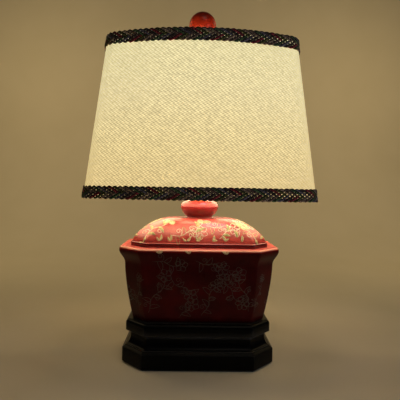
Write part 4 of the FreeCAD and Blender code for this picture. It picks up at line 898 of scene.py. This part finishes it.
points, cloth_places = [], []
for side_inset, lap_inset in ((0.0, -LAP_RISE), (CLOTH_THICKNESS, CLOTH_THICKNESS)):
    for j in range(CLOTH_UP + 1):
        z = cloth_low.z + TURN_IN + (cloth_high.z - cloth_low.z - 2 * TURN_IN) * j / CLOTH_UP
        plan = Plan(z, side_inset)
        lapped = Plan(z, lap_inset)
        for i in range(CLOTH_AROUND + 1):
            share = 0.5 + i / CLOTH_AROUND
            around = (share - 0.5) * plan.length
            points.append((lapped if around < LAP_WIDTH else plan).at(share))
            cloth_places += (around, z - shade_low, 0.0)
row = CLOTH_AROUND + 1
sheet = row * (CLOTH_UP + 1)
faces = []
for a in (j * row + i for j in range(CLOTH_UP) for i in range(CLOTH_AROUND)):
    faces.append((a, a + 1, a + row + 1, a + row))
    faces.append((sheet + a, sheet + a + row, sheet + a + row + 1, sheet + a + 1))
# The edges between its two faces: round the bottom and the top, then up the two ends.
for start, way in ((0, 1), (CLOTH_UP * row, -1)):
    faces += [(a, sheet + a, sheet + a + 1, a + 1)[::way] for a in range(start, start + CLOTH_AROUND)]
for start, way in ((0, 1), (CLOTH_AROUND, -1)):
    faces += [(a, a + row, sheet + a + row, sheet + a)[::way] for a in range(start, sheet - row, row)]
cover = make_object("linen_cover", points, faces, linen)
cover.data.attributes.new("cloth", "FLOAT_VECTOR", "POINT").data.foreach_set("vector", cloth_places)
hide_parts("shade_fabric")
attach(cover, "shade")


# The plaited trims
# Seven strands of two chenille yarns side by side, plaited flat into a herringbone and glued
# round both edges of the shade: dark brown, olive, maroon and charcoal violet, one yarn of each
# strand painted lighter and one darker as painted highlight and shade. The bright cloth shows as specks through the
# plait.
STRANDS = 7
SCALLOP = 8.3
YARN_WIDE = 0.9
YARN_THICK = 0.62
YARN_APART = 0.75
CROSSING = 0.6
CROSSING_EASE = 0.05
TURN_SHARPNESS = 0.985
OVERHANG = 1.0
SPREAD = 0.24
YARN_STEP = 1.3
YARN_SIDES = 6
# Painted highlight and shade: each strand's two yarns are drawn lighter and darker.
YARN_LIT_AND_SHADED = {-1: 0.4, 1: 1.5}
DYES = ("#8C7664", "#4E4E26", "#7C2830", "#3C322C", "#625C66", "#43593A", "#6A564A")

chenille, tree, shader, place = new_material("plaited_chenille", Roughness=0.85, Sheen_Weight=0.35,
                                             Sheen_Roughness=0.4)
dye_and_shade = add_node(tree, "Attribute", attribute_name="dye_and_shade")
# Cut pile in tufts about 0.5 mm across, drawn here at 1.8 mm so that they show.
pile = add_node(tree, "TexNoise", {"Vector": place, "Scale": 1 / (1.8 * MM), "Detail": 4.0})
tufts = add_node(tree, "MapRange", {"Value": pile, "From Min": 0.36, "From Max": 0.66, "To Min": 0.15,
                                    "To Max": 2.6})
mixed = add_node(tree, "Mix", {"Factor": 1.0, "A": dye_and_shade, "B": tufts}, data_type="RGBA", blend_type="MULTIPLY")
soft = add_node(tree, "Bump", {"Height": pile, "Strength": 0.8, "Distance": 0.4 * MM})
plug(tree, shader, {"Base Color": mixed, "Normal": soft})


def plait(name, node):
    # Follows each yarn round the shade; a strand weaves edge to edge and over and under.
    low, high = mm_box(node)
    middle = (low.z + high.z) / 2
    swing = (high.z - low.z) / 2 + OVERHANG - YARN_WIDE - YARN_APART * 0.9
    repeats = round(Plan(middle, 0.0).length / (SCALLOP * STRANDS))
    steps = repeats * round(SCALLOP * STRANDS / YARN_STEP)
    base = CROSSING + YARN_THICK
    plans = {}

    def yarn_place(turn, share):
        # A point of a yarn's centre line, at a phase of the plait and a share of the way round.
        y = swing * asin(TURN_SHARPNESS * cos(turn)) / asin(TURN_SHARPNESS)
        rise = sin(2 * turn)
        lift = CROSSING * rise / sqrt(rise * rise + CROSSING_EASE)
        key = (round((middle + y) * 4), round((base + lift) * 20))
        if key not in plans:
            plans[key] = Plan(key[0] / 4, -key[1] / 20)
        return plans[key].at(share)

    points, faces, dyes_and_shades = [], [], []
    ring = [(m, (m + 1) % YARN_SIDES) for m in range(YARN_SIDES)]
    pull = random.Random(5)
    for strand, colour in enumerate(DYES):
        # How tightly each stretch of the strand was pulled: slack stretches spread and close the gaps.
        slack = [pull.uniform(0.0, 1.0) for _ in range(3 * repeats)]
        centres = [yarn_place(2 * pi * (k / steps * repeats + strand / STRANDS), k / steps)
                   for k in range(steps)]
        for side, tone in YARN_LIT_AND_SHADED.items():
            start = len(points)
            for k, here in enumerate(centres):
                tangent = (centres[(k + 1) % steps] - centres[k - 1]).normalized()
                outward = Vector((here.x / SHADE_BOTTOM_PLAN[0] ** 2, here.y / SHADE_BOTTOM_PLAN[1] ** 2, 0))
                flat = tangent.cross(outward.normalized()).normalized()
                out = flat.cross(tangent).normalized()
                stretch = k / steps * len(slack)
                ease = stretch % 1
                loose = slack[int(stretch)] * (1 - ease) + slack[(int(stretch) + 1) % len(slack)] * ease
                centre = here + flat * side * (YARN_APART + SPREAD * loose)
                wide = YARN_WIDE + SPREAD * loose
                for angle in (2 * pi * m / YARN_SIDES for m in range(YARN_SIDES)):
                    points.append(centre + flat * cos(angle) * wide + out * sin(angle) * YARN_THICK)
                a = start + k * YARN_SIDES
                b = start + (k + 1) % steps * YARN_SIDES
                faces += [(a + m, a + n, b + n, b + m) for m, n in ring]
            dyes_and_shades += [channel * tone for channel in linear(colour)] * (steps * YARN_SIDES)
    trim = make_object(name, points, faces, chenille)
    trim.data.color_attributes.new("dye_and_shade", "FLOAT_COLOR", "POINT").data.foreach_set("color", dyes_and_shades)
    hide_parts(node)
    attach(trim, "shade")


plait("plaited_trim_bottom", "braid_bottom")
plait("plaited_trim_top", "braid_top")


# The ball finial
# A glazed ceramic ball, cemented on a turned brass stem. Plain red glaze, a little
# darker than the jar's.
ball_glaze = red_glaze("plain_red_ball_glaze", "#9C2C16", "#8C2411", "#7A1C0E", 0.0, 0.25, 0.0)
dress(ball_glaze, "finial_ball")


# The studio
# A plain pale floor that curves up behind the lamp, a soft light from above, a cool one
# from the right and a wash on the backdrop, all kept low so that the lit shade leads.
FLOOR_HALF = 3.2
BACK_WALL = 1.4
SWEEP_ROUND = 0.6
CAMERA_PLACE = (-0.0137, -0.6685, 0.2697)
CAMERA_DOWN = 1.33
CAMERA_LEFT = -1.2
CAMERA_ROLL = 1.0
SENSOR = 36.0
FOCAL_PIXELS = 404.5
FRAME_PIXELS = 400.0

# Faint clouds, six to a metre.
paper = mottled("pale_studio_paper", 1000 / 6, [(0.3, "#CFC6B0"), (0.7, "#D3CAB5")], {}, Roughness=0.95)
sweep = [(-FLOOR_HALF, 0.0)]
sweep += [(BACK_WALL - SWEEP_ROUND + SWEEP_ROUND * sin(turn), SWEEP_ROUND - SWEEP_ROUND * cos(turn))
          for turn in QUARTER_TURN]
sweep.append((BACK_WALL, FLOOR_HALF))
points = [(x / MM, y / MM, z / MM) for y, z in sweep for x in (-FLOOR_HALF, FLOOR_HALF)]
faces = [(2 * k, 2 * k + 1, 2 * k + 3, 2 * k + 2) for k in range(len(sweep) - 1)]
backdrop = make_object("studio_sweep", points, faces, paper)


def soft_light(name, size, power, colour, place, target):
    # A round area light of this size in metres and power in watts, aimed at a target.
    lamp = bpy.data.lights.new(name, "AREA")
    lamp.shape = "DISK"
    lamp.size = size
    lamp.energy = power
    lamp.color = linear(colour)[:3]
    holder = add_object(name, lamp)
    holder.location = place
    holder.rotation_euler = (Vector(target) - Vector(place)).to_track_quat("-Z", "Y").to_euler()


soft_light("overhead_softbox", 0.7, 1.6, "#FFF2E0", (0.3, -0.9, 1.5), (0, 0, 0.3))
soft_light("side_softbox", 0.7, 1.2, "#C4D4FF", (1.1, -0.8, 0.28), (0, 0, 0.1))
soft_light("bulb_glint", 0.06, 0.045, "#E0E8FF", (0.03, -0.05, 0.34), (0.012, -0.05, 0.21))
soft_light("backdrop_wash_left", 0.6, 4.0, "#FFE2A8", (-0.9, 0.5, 0.9), (-0.3, 1.4, 0.5))
soft_light("backdrop_wash_right", 0.6, 4.0, "#FFE2A8", (0.9, 0.5, 0.9), (0.3, 1.4, 0.5))

world = bpy.data.worlds.new("studio_air")
world.use_nodes = True
plug(world.node_tree, world.node_tree.nodes["Background"], {"Color": linear("#FFF3E0"), "Strength": 0.02})
bpy.context.scene.world = world

camera = add_object("camera", bpy.data.cameras.new("camera"))
camera.data.sensor_width = SENSOR
camera.data.lens = SENSOR * FOCAL_PIXELS / FRAME_PIXELS
camera.location = CAMERA_PLACE
camera.rotation_euler = (radians(90 - CAMERA_DOWN), radians(-CAMERA_ROLL), radians(CAMERA_LEFT))
bpy.context.scene.camera = camera
bpy.context.scene.view_settings.view_transform = "Standard"
